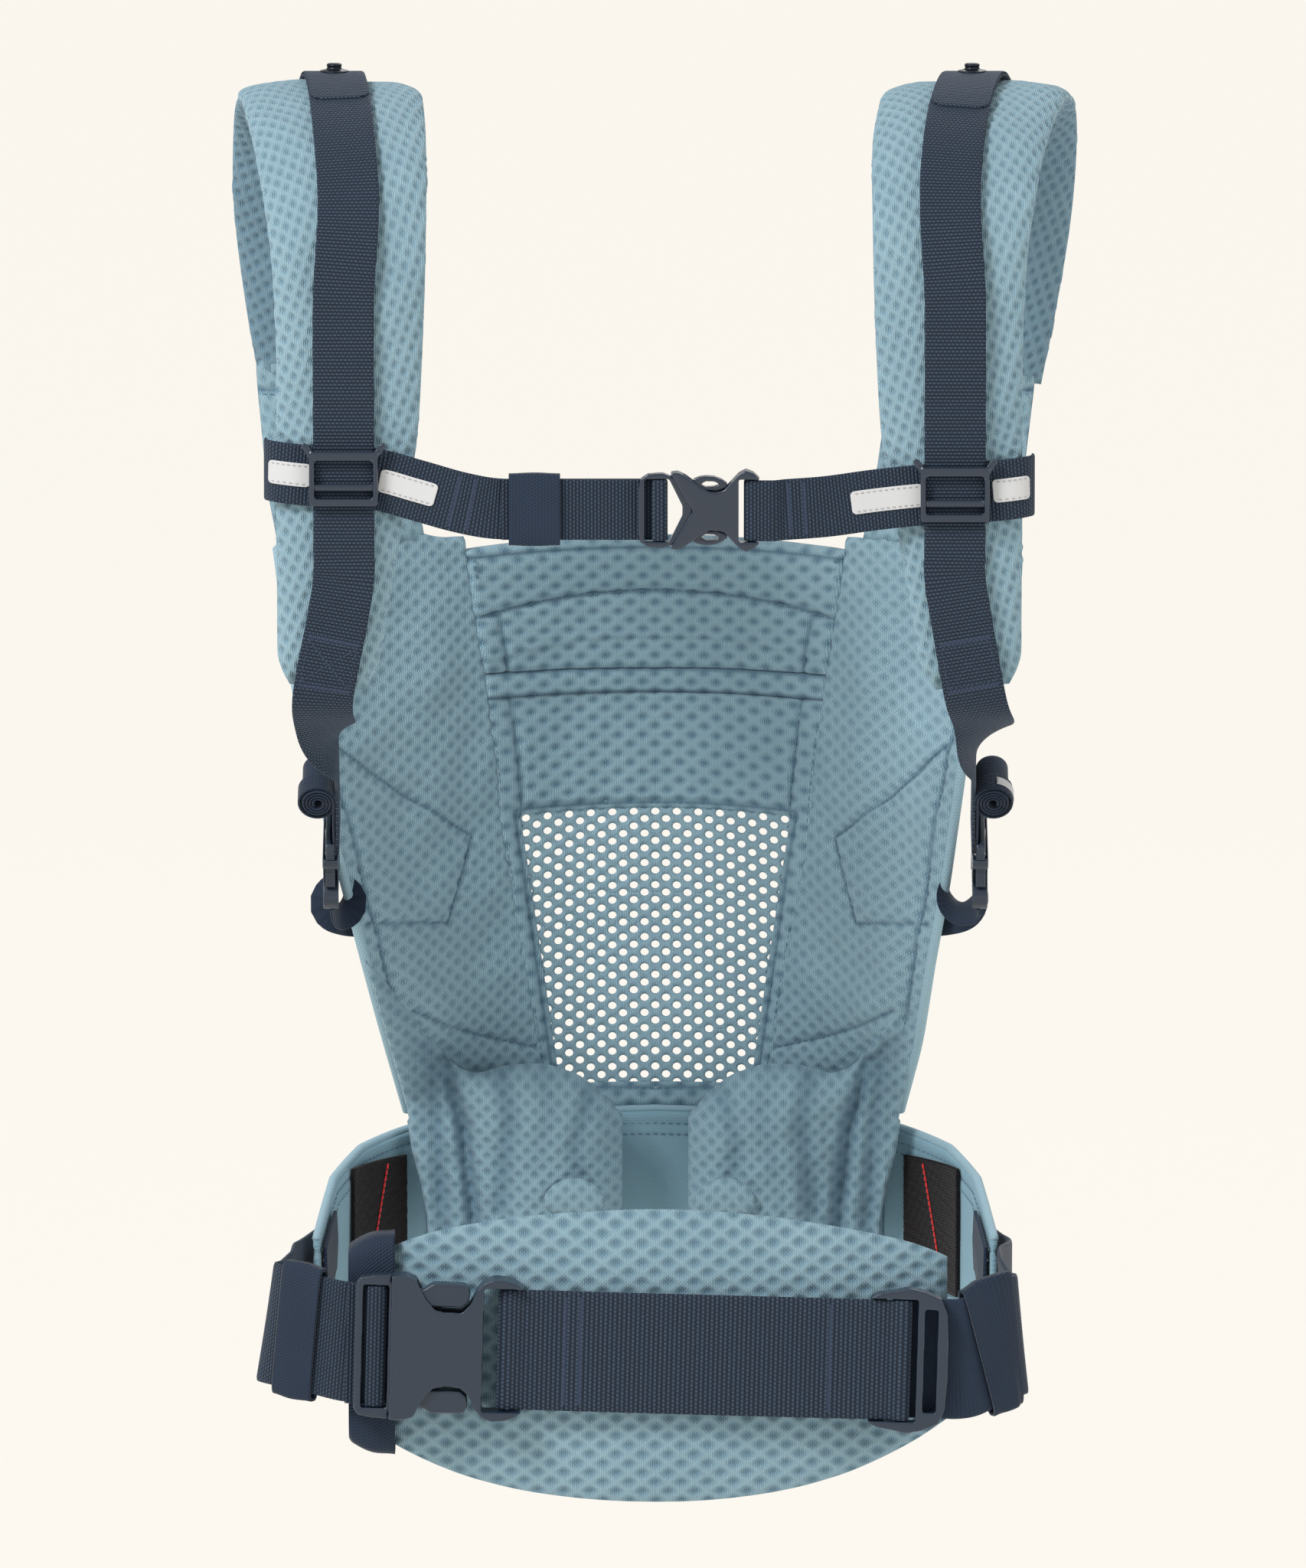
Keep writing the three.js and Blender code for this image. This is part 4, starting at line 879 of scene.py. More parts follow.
def sidePanel(name, s):
    c = panelCloth
    nx, nz = 78, 190
    a, b = np.meshgrid(np.linspace(0, 1, nx), np.linspace(0, 1, nz), indexing="ij")
    z = mix(126.0, 372, b)
    for _ in range(3):
        seam, edge = seamLine(z) - 1.0, edgeX(s, z) - 0.3
        x = mix(seam, edge, a)
        top = 374 + 6 * ease((x - 88) / 25)
        bottom = table(beltTop, x) + 1.4
        z = mix(bottom, top, b)
    narrower = np.where(s > 0, table(edgeNarrower, z, 8), 0) * a
    lineX = -(x + narrower)
    distance = np.minimum.reduce([segmentDistance(lineX, z, line) for line in sideLines.values()])
    distance = np.minimum(distance, np.abs(edge - x - 5.5))
    border = np.minimum.reduce([x - seam + 1.2, edge - x + 1, top - z, z - bottom + 1])
    creases = [([(-122, 182), (-100, 150), (-84, 136)], 5, -3.0), ([(-112, 160), (-92, 140), (-78, 133)], 5, 3.0),
               ([(-104, 190), (-88, 168), (-78, 150)], 7, 1.6), ([(-131, 262), (-112, 225), (-108, 200)], 9, 1.4),
               ([(-96, 250), (-92, 300), (-100, 350)], 12, 1.2), ([(-125, 300), (-112, 330), (-100, 352)], 8, -1.4)]
    wave = sum(h * np.exp(-(segmentDistance(lineX, z, line) / wide) ** 2) for line, wide, h in creases)
    calm = ease(border / 8)
    relief = (wave + 0.9 * noise2(lineX, z, 5, 45)) * calm
    flatCloth = relief.copy()
    relief = relief - 0.75 * hollows(lineX, z, "square") * ease((edge - x - 1) / 4) + channel(distance, 1.3, 1.2)
    behind = -flatCloth - 0.6 * hollows(lineX, z, "square")
    piece = panelSheet(f"sidePanel{name.title()}", s * x, z, c["thick"] / 2 * (1 - 0.35 * a), relief,
                       seamShade(distance, 0.9), knitSquare, border, behind=behind)
    place(piece, "carrier", "knit", f"side_panel_{name}")
    runs = []
    for line in list(sideLines.values())[:3]:
        at = np.linspace(0, 1, 120)
        lx = np.interp(at * (len(line) - 1), np.arange(len(line)), [p[0] for p in line])
        lz = np.interp(at * (len(line) - 1), np.arange(len(line)), [p[1] for p in line])
        keep = -lx < edgeX(-1, lz) - 2
        lx, lz = lx[keep], lz[keep]
        share = np.clip((-lx - seamLine(lz)) / (edgeX(-1, lz) - seamLine(lz)), 0, 1)
        px = -lx - (table(edgeNarrower, lz, 8) * share if s > 0 else 0)
        runs.append(onPanel(s * px, lz, 1.5))
    zs = np.linspace(132, 372, 190)
    runs.append(onPanel(s * (edgeX(s, zs) - 5.5), zs, 1.4))
    stitchPiece(f"sidePanelStitches{name.title()}", runs, blueThread, "carrier", "knit")
    zs = np.linspace(128, 376, 200)
    line = panelPoint(s * (edgeX(s, zs) + 0.2), zs)
    piping = cordMesh(f"sidePiping{name.title()}", line, np.tile(across1, (200, 1)), 2.0, pipingKnit, 10, 1.1)
    place(piping, "carrier", "knit")


centrePanel()
meshNet()
headSupport()
foldBand()
for sideName, sideSign in sides.items():
    sidePanel(sideName, sideSign)
print("body panel made")


# ---- padded pieces ----
def finePillow(name, front, back, size, lattice, depth, uvOf, material, seams=None, undulate=0.4, seed=1, lowShade=0.0,
               backShade=0.0):
    # Reads two coarse grids finely, then presses the knit's hollows and any seams into both faces.
    nu, nv = size
    front, back = [resample(resample(g, nu, 0), nv, 1) for g in (front, back)]
    uv = resample(resample(uvOf, nu, 0), nv, 1)
    edge = [np.minimum(np.arange(n), n - 1 - np.arange(n)) for n in size]
    calm = ease(np.minimum(edge[0][:, None], edge[1][None, :]) / 5)
    u, v = uv[..., 0], uv[..., 1]
    press = depth * hollows(u, v, lattice)
    shade = np.zeros(size)
    if seams is not None:
        distance = seams(u, v)
        press = press + 1.6 * np.exp(-(distance / 1.6) ** 2)
        shade = seamShade(distance, 1.1)
    shade = np.maximum(shade, lowShade * (1 - ease(np.minimum(edge[0][:, None], edge[1][None, :]) / 4)))
    made = []
    flip = 1 if volumeOf(*pillow(front, back)[:2]) > 0 else -1
    for grid, way, k in ((front, flip, 0), (back, -flip, 1)):
        lift = (undulate * noise2(u, v, seed + k, 42) - press) * calm
        made.append(grid + gridNormals(grid) * way * lift[..., None])
    points, quads, inner = pillow(*made)
    flat, tone = uv.reshape(-1, 2), shade.ravel()
    return makeMesh(name, points, quads, np.vstack([flat, uv[inner]]), material,
                    np.concatenate([tone, np.maximum(shade, backShade)[inner]]))


shoulder = {"half": 8.6, "front": -97.0, "shift": -2.5, "slack": 0.86, "cap": 5.0, "coarse": (84, 15),
            "fine": (460, 68), "hollow": 1.15}
padRun = [(132.75, -97, 336, 41), (128.5, -97, 388, 50), (126.5, -97, 412, 54), (124, -97, 440, 59),
          (122.75, -97, 485, 61.5), (123.5, -92, 522, 65), (127, -66, 556, 72), (133, -24, 571, 76),
          (139, 18, 559, 74), (142.5, 44, 522, 69), (139.5, 60, 475, 65), (136, 68, 446, 62)]


def padPoints(s):
    x, y, z, _ = np.array(padRun, float).T
    shift = np.where(y < 0, shoulder["shift"] * np.minimum(1, -y / 60), 0)
    narrower = 4 * ease((y - 20) / 50) if s > 0 else 0
    return vec(s * (x - narrower) + shift, y, z)


def padFrame(s, t):
    points = padPoints(s)
    line = pathAt(points, t)
    run = unit(pathAt(points, np.clip(t + 0.002, 0, 1)) - pathAt(points, np.clip(t - 0.002, 0, 1)))
    across = unit(across1 - run * run[..., :1])
    return line, run, across, -np.cross(run, across)


def padWidthAt(t):
    return table([(k, row[3]) for k, row in enumerate(padRun)], t * (len(padRun) - 1), 0.3)


def shoulderPad(name, s):
    # A pillow on the strap's path: half thickness is half * sqrt(1 - v^4), and both ends are round.
    p = shoulder
    nu, nv = p["coarse"]
    share = np.linspace(0, 1, nu)
    t = evenT(padPoints(s), share)
    line, run, across, out = padFrame(s, t)
    angle = np.linspace(-1, 1, nv)
    v = np.sin(angle * np.pi / 2)
    ends = np.sqrt(np.clip(1 - np.clip((0.045 - share) / 0.045, 0, 1) ** 2, 0, 1))
    ends = ends * np.sqrt(np.clip(1 - np.clip((share - 0.99) / 0.01, 0, 1) ** 2, 0, 1))
    narrow = 1 - 0.28 * np.clip((0.045 - share) / 0.045, 0, 1) ** 2.5
    half = (p["half"] * p["slack"] * ends)[:, None] * np.sqrt(np.clip(1 - v[None] ** 4, 0, 1))
    wide = (padWidthAt(t) / 2 * narrow)[:, None] * v[None]
    middle = line[:, None] + across[:, None] * wide[..., None]
    lift = out[:, None] * half[..., None]
    front, back = inflate("padCloth", middle + lift, middle - lift, p["cap"])
    # the swollen cloth is held to the pad's own thickness
    for grid in (front, back):
        off = ((grid - middle) * out[:, None]).sum(-1)
        limit = p["half"] - 0.2
        grid += out[:, None] * (np.clip(off, -limit, limit) - off)[..., None]
        aside = ((grid - line[:, None]) * across[:, None]).sum(-1)
        reach = (padWidthAt(t) / 2 - 0.5)[:, None]
        grid += across[:, None] * (np.clip(aside, -reach, reach) - aside)[..., None]
    run0 = alongOf(line)
    uv = np.stack([wide, np.broadcast_to(run0[:, None], wide.shape)], -1)
    piece = finePillow(f"shoulderPad{name.title()}", front, back, p["fine"], "fine", p["hollow"], uv, knitFine,
                       undulate=0.6, seed=20 + s, backShade=0.4)
    place(piece, "carrier", "knit", f"shoulder_pad_{name}")


def strapAnchor(name, s):
    # The flatter stretch from the pad's far end down to the panel's top corner.
    down, v = np.meshgrid(np.linspace(0, 1, 40), np.linspace(-1, 1, 15), indexing="ij")
    v = np.sin(v * np.pi / 2)
    top = padPoints(s)[-1]
    z = mix(372.0, 456.0, 1 - down)
    edge = edgeX(s, z)
    width = mix(61.5, 61, down)
    x = s * (edge - width / 2 - v * width / 2)
    inPad = top[1] - 0.4 - 0.276 * np.maximum(z - 446, 0)
    y = mix(inPad, panelPoint(x, np.minimum(z, 380.0))[..., 1], ease((446 - z) / 62))
    ends = np.sqrt(np.clip(1 - (2 * np.clip(np.abs(down - 0.5), 0.44, 0.5) - 0.88) ** 2 / 0.0144, 0, 1))
    half = 7 * np.sqrt(np.clip(1 - v**4, 0, 1)) * mix(1, 0.5, down) * ends
    middle = vec(x, y, z)
    lift = vec(0 * x, half, 0 * x)
    uv = np.stack([v * width / 2, z - 372], -1)
    piece = finePillow(f"strapAnchor{name.title()}", middle - lift, middle + lift, (60, 56), "fine", 0.5, uv, knitFine,
                       seams=lambda a, b: np.abs(b - 68.5), undulate=0.5, seed=30 + s, lowShade=0.4)
    place(piece, "carrier", "knit", f"strap_anchor_{name}")
    row = 8
    line = vec(x[row], y[row] - half[row] - 0.2, z[row])
    stitchPiece(f"strapAnchorStitches{name.title()}", [stitchesOn(line, np.tile([0, -1.0, 0.0], (len(line), 1)))],
                blueThread, "carrier", "knit")


# The panel's lower side folds forward over the seat's edge and swells into a soft roll beside the middle.
thigh = {"low": 72.0, "inner": 14.0, "fold": 4.0,
         "edge": [(84, 97), (100, 100), (113, 103.5), (126, 105.5)],
         "top": [(0, 205), (0.08, 184), (0.17, 163), (0.25, 150), (0.34, 146), (0.5, 150), (0.66, 150.5), (0.8, 146),
                 (0.9, 139), (1, 128)],
         "half": [(0, 3), (0.1, 4.5), (0.22, 7), (0.33, 10), (0.45, 17), (0.6, 21), (0.8, 20), (1, 15)],
         "folds": [([(-90, 152), (-82, 126), (-76, 74)], 3.4, 6.5), ([(-97, 160), (-93, 128), (-90, 74)], 4.0, 3.6),
                   ([(-66, 150), (-62, 128), (-66, 90)], 4.5, 3.4), ([(-28, 140), (-34, 118), (-30, 88)], 4.0, 2.6),
                   ([(-48, 149), (-45, 132), (-50, 108)], 5.0, 1.4), ([(-116, 196), (-104, 170), (-99, 120)], 3.6, 1.6)]}


def thighPad(name, s):
    # Half thickness is half(a) times a quarter circle in from the top, inner, outer and lower borders.
    p = thigh
    a, b = np.meshgrid(np.linspace(0, 1, 112), np.linspace(0, 1, 96), indexing="ij")
    high = table(p["top"], a, 0.03)
    z = mix(p["low"], high, b)
    narrower = np.where(s > 0, table(edgeNarrower, z, 8), 0)
    outer = np.where(z > 126, edgeX(-1, z), table(p["edge"], z)) - narrower
    x = mix(outer, p["inner"], a)
    thick = table(p["half"], a, 0.02)
    turned = lambda gapTo, radius: np.sqrt(1 - (1 - np.clip(gapTo / radius, 0, 1)) ** 2)
    half = thick * turned(high - z, thick * 1.1 + 1) * turned(x - p["inner"], 20)
    half = half * turned(outer - x, 3.2) * turned(z - p["low"], 5)
    behind = panelPoint(-x, z)[..., 1] - 3.0
    y = np.minimum(behind, 83.0) - 1.5 * np.exp(-((behind - 83) / 6) ** 2)
    creased = -sum(h * np.exp(-(segmentDistance(-x, z, line) / w) ** 2) for line, w, h in p["folds"])
    calm = ease(half / 4)
    lift = (creased + 1.1 * noise2(-x, z, 60 + s, 30) - 0.75 * hollows(x * s, z, "square")) * calm
    front = vec(s * x, y - half - lift, z)
    back = vec(s * x, y + half, z)
    points, quads, inner = pillow(front, back)
    uv = np.stack([s * x, z], -1)
    shade = np.clip(-creased * calm / 9, 0, 0.45)
    piece = makeMesh(f"thighPad{name.title()}", points, quads, np.vstack([uv.reshape(-1, 2), uv[inner]]),
                     knitSquare, np.concatenate([shade.ravel(), shade[inner]]))
    place(piece, "carrier", "knit", f"thigh_pad_{name}")
    # the little folded flap under the roll
    a, b = np.meshgrid(np.linspace(-1, 1, 26), np.linspace(-1, 1, 12), indexing="ij")
    fx, fz = a * np.sqrt(1 - b**2 / 2), b * np.sqrt(1 - a**2 / 2)
    deep = np.clip(1 - fx**2 - fz**2, 0, 1) ** 0.5
    middle = np.array([s * 32 - 2.5, 60.5, 97.0]) + vec(fx * 13, -1.0 * fx**2, fz * 8 - 2 * fx**2)
    lift = vec(0 * fx, deep * 3.0, 0 * fx)
    points, quads, inner = pillow(middle - lift, middle + lift)
    uv = np.stack([fx * 13, fz * 8], -1)
    flap = makeMesh(f"thighFlap{name.title()}", points, quads, np.vstack([uv.reshape(-1, 2), uv[inner]]), knitSquare)
    place(flap, "carrier", "knit")


# ---- lumbar pad ----
lumbar = {"half": 120.5, "crown": -123.2, "curve": 3.3 / 57**2, "thick": 15.0, "slack": 0.85, "cap": 5.0,
          "coarse": (58, 27), "fine": (250, 118), "hollow": 1.1,
          "top": [(-140, 84), (-121, 98), (-107, 106.5), (-92, 111.5), (-75, 115.5), (-45, 120), (0, 122.6), (35, 120.5),
                  (65, 116), (100, 108.5), (119, 102), (140, 88)],
          "low": [(-140, 44), (-121, 28), (-107, 20), (-90, 12), (-69, 5.5), (-40, 0.6), (-5, -1.5), (30, -0.4),
                 (65, 5), (95, 15.5), (122, 31), (140, 46)]}


def lumbarPad():
    # Between a top and a low line, front at crown + curve*x^2, half thickness thick/2 * sqrt(1 - v^3.2).
    p = lumbar
    u, v = np.meshgrid(np.linspace(-1, 1, p["coarse"][0]), np.linspace(-1, 1, p["coarse"][1]), indexing="ij")
    v = np.sin(v * np.pi / 2)
    x = np.sin(u * np.pi / 2) * 0.35 * p["half"] + u * 0.65 * p["half"]
    high, low = table(p["top"], x, 16) - 0.4, table(p["low"], x, 16) + 0.4
    z = mix(low, high, (v + 1) / 2)
    crown = np.sqrt(np.clip(1 - np.abs(v) ** 3.2, 0, 1)) * np.sqrt(np.clip(1 - np.abs(x / p["half"]) ** 9, 0, 1))
    half = p["thick"] / 2 * p["slack"] * crown
    middle = vec(x, p["crown"] + p["curve"] * x**2 + p["thick"] / 2, z)
    lift = vec(0 * x, half, 0 * x)
    front, back = inflate("lumbarCloth", middle - lift, middle + lift, p["cap"])
    for grid in (front, back):
        off = grid[..., 1] - middle[..., 1]
        limit = p["thick"] / 2 - 0.1
        grid[..., 1] += np.clip(off, -limit, limit) - off
    uv = np.stack([x, z], -1)
    piece = finePillow("lumbarPad", front, back, p["fine"], "wide", p["hollow"], uv, knitLumbar, undulate=0.25, seed=5)
    place(piece, "lumbar_pad", "knit", "lumbar_pad")


# ---- waist belt ----
belt = {"bottom": 10.0, "tipBottom": 35.0, "thick": 8.0, "wingThick": 5.0, "wingStart": 0.44,
        "plan": [(0, 113), (60, 111.5), (103, 98), (125, 70), (136, 38), (141, 0), (142, -12)]}


def beltAt(s, share):  # middle line, direction away from the wearer, low and high edges
    plan = [(x, y, 0) for x, y in belt["plan"]]
    line = pathAt(plan, evenT(plan, share))
    ahead = pathAt(plan, evenT(plan, np.clip(share + 0.004, 0, 1)))
    behind = pathAt(plan, evenT(plan, np.clip(share - 0.004, 0, 1)))
    run = unit(ahead - behind)
    s = np.broadcast_to(s, share.shape)
    out = vec(run[..., 1] * -s, run[..., 0], 0)
    low = mix(belt["bottom"], belt["tipBottom"], ease((share - 0.45) / 0.55))
    return vec(line[..., 0] * s, line[..., 1], 0), out, low, table(beltTop, line[..., 0])


def beltPiece(name, s, share, thick, node, rows=84, seed=7):
    # Inner face in plain lining, outer face in dimpled knit, meeting in a rolled edge.
    line, out, low, high = beltAt(s, np.abs(share))
    b = np.linspace(0, 1, rows)[None]
    z = mix(low[:, None] + 0.6, high[:, None] - 0.6, b)
    run = alongOf(line) * 1.0
    u = np.broadcast_to(run[:, None], z.shape)
    border = np.minimum.reduce([z - low[:, None] + 0.3, high[:, None] - z + 0.3, u + 0.4, run[-1] - u + 0.4])
    sag = 0.5 * noise2(u, z, seed, 50) * ease(border / 8)
    half = (thick / 2 * (1 - 0.35 * ease((np.abs(share) - 0.5) * 2)))[:, None] * edgeRound(border, 0.35)
    middle = np.stack([np.broadcast_to(line[:, None, k], z.shape) for k in (0, 1)] + [z], -1)
    rim = np.minimum(high[:, None] - z - 5.5, 99)
    sewn = np.minimum(np.abs(rim), np.abs(z - low[:, None] - 5.5))
    inner = half + sag * 0.4 + channel(sewn, 1.2, 0.5)
    outer = half - 0.75 * hollows(u, z, "wide") * ease(border / 3) + sag + channel(sewn, 1.3, 0.9)
    front = middle - out[:, None] * inner[..., None]
    rear = middle + out[:, None] * outer[..., None]
    points, quads = shell(front, rear)
    uv = np.stack([u, z], -1).reshape(-1, 2)
    tone = (seamShade(sewn, 0.8) * 0.6).ravel()
    piece = makeMesh(name, points, quads, np.vstack([uv, uv]), liningTwill, np.concatenate([tone, tone]))
    piece.data.materials.append(knitWide)
    n = (len(line) - 1) * (rows - 1)
    index = np.zeros(len(piece.data.polygons), np.int32)
    index[n:2 * n] = 1
    piece.data.polygons.foreach_set("material_index", index)
    place(piece, "carrier", "lining", node)
    top = stitchesOn(vec(line[2:-2, 0], line[2:-2, 1], high[2:-2] - 5.5) - out[2:-2] * (thick / 2 - 0.5), -out[2:-2])
    below = stitchesOn(vec(line[2:-2, 0], line[2:-2, 1], high[2:-2] - 10) - out[2:-2] * (thick / 2 + 0.1), -out[2:-2])
    stitchPiece(name + "Stitches", [top, below], blueThread, "carrier", "lining")
    rimLine = vec(line[:, 0], line[:, 1], high + 0.1)
    piping = cordMesh(name + "Piping", rimLine, np.tile(up1, (len(line), 1)), 1.9, pipingKnit, 10)
    place(piping, "carrier", "knit")


def waistBelt():
    w = belt["wingStart"]
    share = np.linspace(-w, w, 190)
    beltPiece("waistBelt", np.where(share < 0, -1, 1), share, belt["thick"], "waist_belt")
    for name, s in sides.items():
        wing = np.linspace(w + 0.002, 1, 130)
        beltPiece(f"waistWing{name.title()}", s, wing, belt["wingThick"], f"waist_wing_{name}", seed=9 + s)
        hookStrip(name, s)
        wingGusset(name, s)


def hookStrip(name, s):
    # Fuzzy hook tape with one red row of stitching.
    share = np.linspace(0.5, 0.7, 60)
    line, out, _, _ = beltAt(s, share)
    z = np.linspace(55, 110, 56)[None]
    middle = np.stack([np.broadcast_to(line[:, None, k], (60, 56)) for k in (0, 1)]
                      + [np.broadcast_to(z, (60, 56))], -1)
    middle = middle - out[:, None] * (belt["wingThick"] / 2 + 1.2)
    fuzz = 0.18 * noise2(middle[..., 1], middle[..., 2], 44 + s, 4, 2)
    front, rear = middle - out[:, None] * (0.7 + fuzz[..., None]), middle + out[:, None] * 0.7
    points, quads = shell(front, rear)
    uv = np.stack(np.broadcast_arrays(alongOf(line)[:, None], z), -1).reshape(-1, 2)
    piece = makeMesh(f"hookStrip{name.title()}", points, quads, np.vstack([uv, uv]), hookTape)
    round(float(alongOf(line)[-1]) * mm, 3)
    place(piece, "carrier", "hook_tape", f"hook_strip_{name}")
    k = np.linspace(18, 40, 60)
    at = np.stack([np.interp(k, np.arange(60), line[:, n]) for n in range(3)], -1)
    face = np.stack([np.interp(k, np.arange(60), out[:, n]) for n in range(3)], -1)
    red = vec(at[:, 0], at[:, 1], np.linspace(108, 57, 60)) - face * (belt["wingThick"] / 2 + 2.2)
    stitchPiece(f"hookStitches{name.title()}", [stitchesOn(red, -face, 2.6, 2.6, 1.7)], redThread, "carrier", "hook_tape")


def wingGusset(name, s):
    # The folded triangle of web that closes the wing's tip on the inside.
    u, v = np.meshgrid(np.linspace(0, 1, 40), np.linspace(0, 1, 30), indexing="ij")
    share = mix(0.83, 0.985, u[:, 0])
    line, out, _, _ = beltAt(s, share)
    z = mix(mix(72, 40, ease(u)), mix(97, 87, u), v)
    fold = 1.0 + 0.8 * (1 - np.abs(2 * v - 1))
    middle = np.stack([np.broadcast_to(line[:, None, k], z.shape) for k in (0, 1)] + [z], -1) - out[:, None] * 3.4
    points, quads = shell(middle - out[:, None] * (0.7 * fold)[..., None], middle + out[:, None] * 0.7)
    uv = np.stack([u * 36, v * 40], -1).reshape(-1, 2)
    piece = makeMesh(f"wingGusset{name.title()}", points, quads, np.vstack([uv, uv]), navyTape)
    place(piece, "carrier", "webbing", f"wing_gusset_{name}")


for sideName, sideSign in sides.items():
    shoulderPad(sideName, sideSign)
    strapAnchor(sideName, sideSign)
    thighPad(sideName, sideSign)
lumbarPad()
waistBelt()
print("padded pieces made")


# ---- webbing ----
waistSize, chestSize, sideSize = (50.0, 1.8), (25.0, 1.4), (24.6, 1.0)
facing = {"front": (0, -1, 0), "up": (0, 0, 1)}
shoulderShift = -2.5


def web(name, line, wide, size, material, body, node=None, face=(0, -1, 0), columns=12, at=0.5):
    # One woven band along a line; face is the way its seen side looks at the share at of its length.
    wide = np.broadcast_to(wide, line.shape).astype(float)
    _, wide, out = frameAlong(line, wide)
    if out[int(at * (len(line) - 1))] @ np.array(face, float) < 0:
        wide, out = -wide, -out
    piece = ribbon(name, line, wide, out, size[0], size[1], material, columns=columns)
    if size[0] >= 10:
        float(alongOf(line)[-1]) * mm
    place(piece, body, "webbing", *([node] if node else []))
    return {"name": name, "line": line, "wide": wide, "out": out, "half": size[1] / 2, "body": body}


def onBand(band, along, across, lift):
    run = alongOf(band["line"])
    along, across = np.broadcast_arrays(np.asarray(along, float), across)
    line, wide, out = [np.stack([np.interp(along, run, band[key][:, k]) for k in range(3)], -1)
                       for key in ("line", "wide", "out")]
    return line + unit(wide) * across[..., None] + unit(out) * (band["half"] + lift), unit(out)


def barTack(band, along, half, thread=None, width=2.4):
    across = np.linspace(-half, half, 40)
    return stitchesOn(*onBand(band, np.full(40, along), across, -0.17), 0.85, 0.75, width)


def bandRow(band, start, end, across0, across1, pitch=2.2, length=1.7, width=0.45, lift=0.0):
    f = np.linspace(0, 1, 60)
    return stitchesOn(*onBand(band, mix(start, end, f), mix(across0, across1, f), lift), pitch, length, width)


def boxStitch(band, start, end, half):  # a sewn box with its two diagonals
    rows = [(start, end, -half, -half), (start, end, half, half), (start, start, -half, half),
            (end, end, -half, half), (start, end, -half, half), (start, end, half, -half)]
    return [bandRow(band, *row) for row in rows]


def alongWhere(band, axis, value):  # distance run where one coordinate has a value, on the band's later half
    line = band["line"]
    run = alongOf(line)
    peak = int(np.argmax(line[:, 2])) if axis == 2 else 0
    part = line[peak:, axis]
    order = np.argsort(part)
    return float(np.interp(value, part[order], run[peak:][order]))


def power(x, p):
    return np.sign(x) * np.abs(x) ** p


def barLoop(rx, ry, leg, count=40, turns=1.25, legCount=30):
    # The leg's straight, then a rounded turn over the bar and back beneath; leg is its signed length.
    way = 1 if leg < 0 else -1
    turn = np.linspace(0, turns * np.pi, count)
    rounded = vec(way * rx * power(np.sin(turn), 0.75), ry * power(np.cos(turn), 0.75), 0 * turn)
    return np.vstack([vec(np.linspace(leg, 0, legCount)[:-1], ry, 0), rounded])


def inFrame(points, origin, x, y, z):
    return np.array(origin, float) + points @ np.array([x, y, z], float)


def sleeve(name, line, wide, out, halfWide, halfThick, wall, material, body, node, count=96):
    # A closed band worn round a strap: a squared ring swept along the strap for the sleeve's length.
    _, wide, out = frameAlong(line, np.broadcast_to(wide, line.shape).astype(float))
    turn = np.linspace(0, 2 * np.pi, count, endpoint=False)[:, None, None]
    n = len(line)
    swell = (1 + 0.012 * np.cos(np.linspace(-np.pi, np.pi, n)))[None, :, None]
    halfWide = np.broadcast_to(halfWide, n)[None, :, None]
    grids = []
    for inset in (0, wall):
        a = (halfWide * swell - inset) * power(np.cos(turn), 0.28)
        b = (halfThick * swell - inset) * power(np.sin(turn), 0.45)
        grids.append(line[None] + wide[None] * a + out[None] * b)
    points, quads = shell(grids[0], grids[1], wrap=True)
    around = np.concatenate([[0], np.cumsum(np.linalg.norm(np.diff(grids[0][:, 0], axis=0), axis=1))])
    uv = np.stack(np.broadcast_arrays(around[:, None], alongOf(line)[None]), -1).reshape(-1, 2)
    piece = makeMesh(name, points, quads, np.vstack([uv, uv]), material)
    float(alongOf(line)[-1]) * mm
    return place(piece, body, "webbing", *([node] if node else []))


# Shoulder webs: on the pad from the top of the shoulder, then edge on down to the side buckle.
sideOrigin = {"x": 135.5, "y": -8.0, "z": 260.0, "dive": 30.0}
sideRun = np.array([0, 0.5, -np.sqrt(0.75)])


def sideFrame(s):
    return (s * 135.5, -8, 260), sideRun, (-s, 0, 0), (0, s * np.sqrt(0.75), s * 0.5)


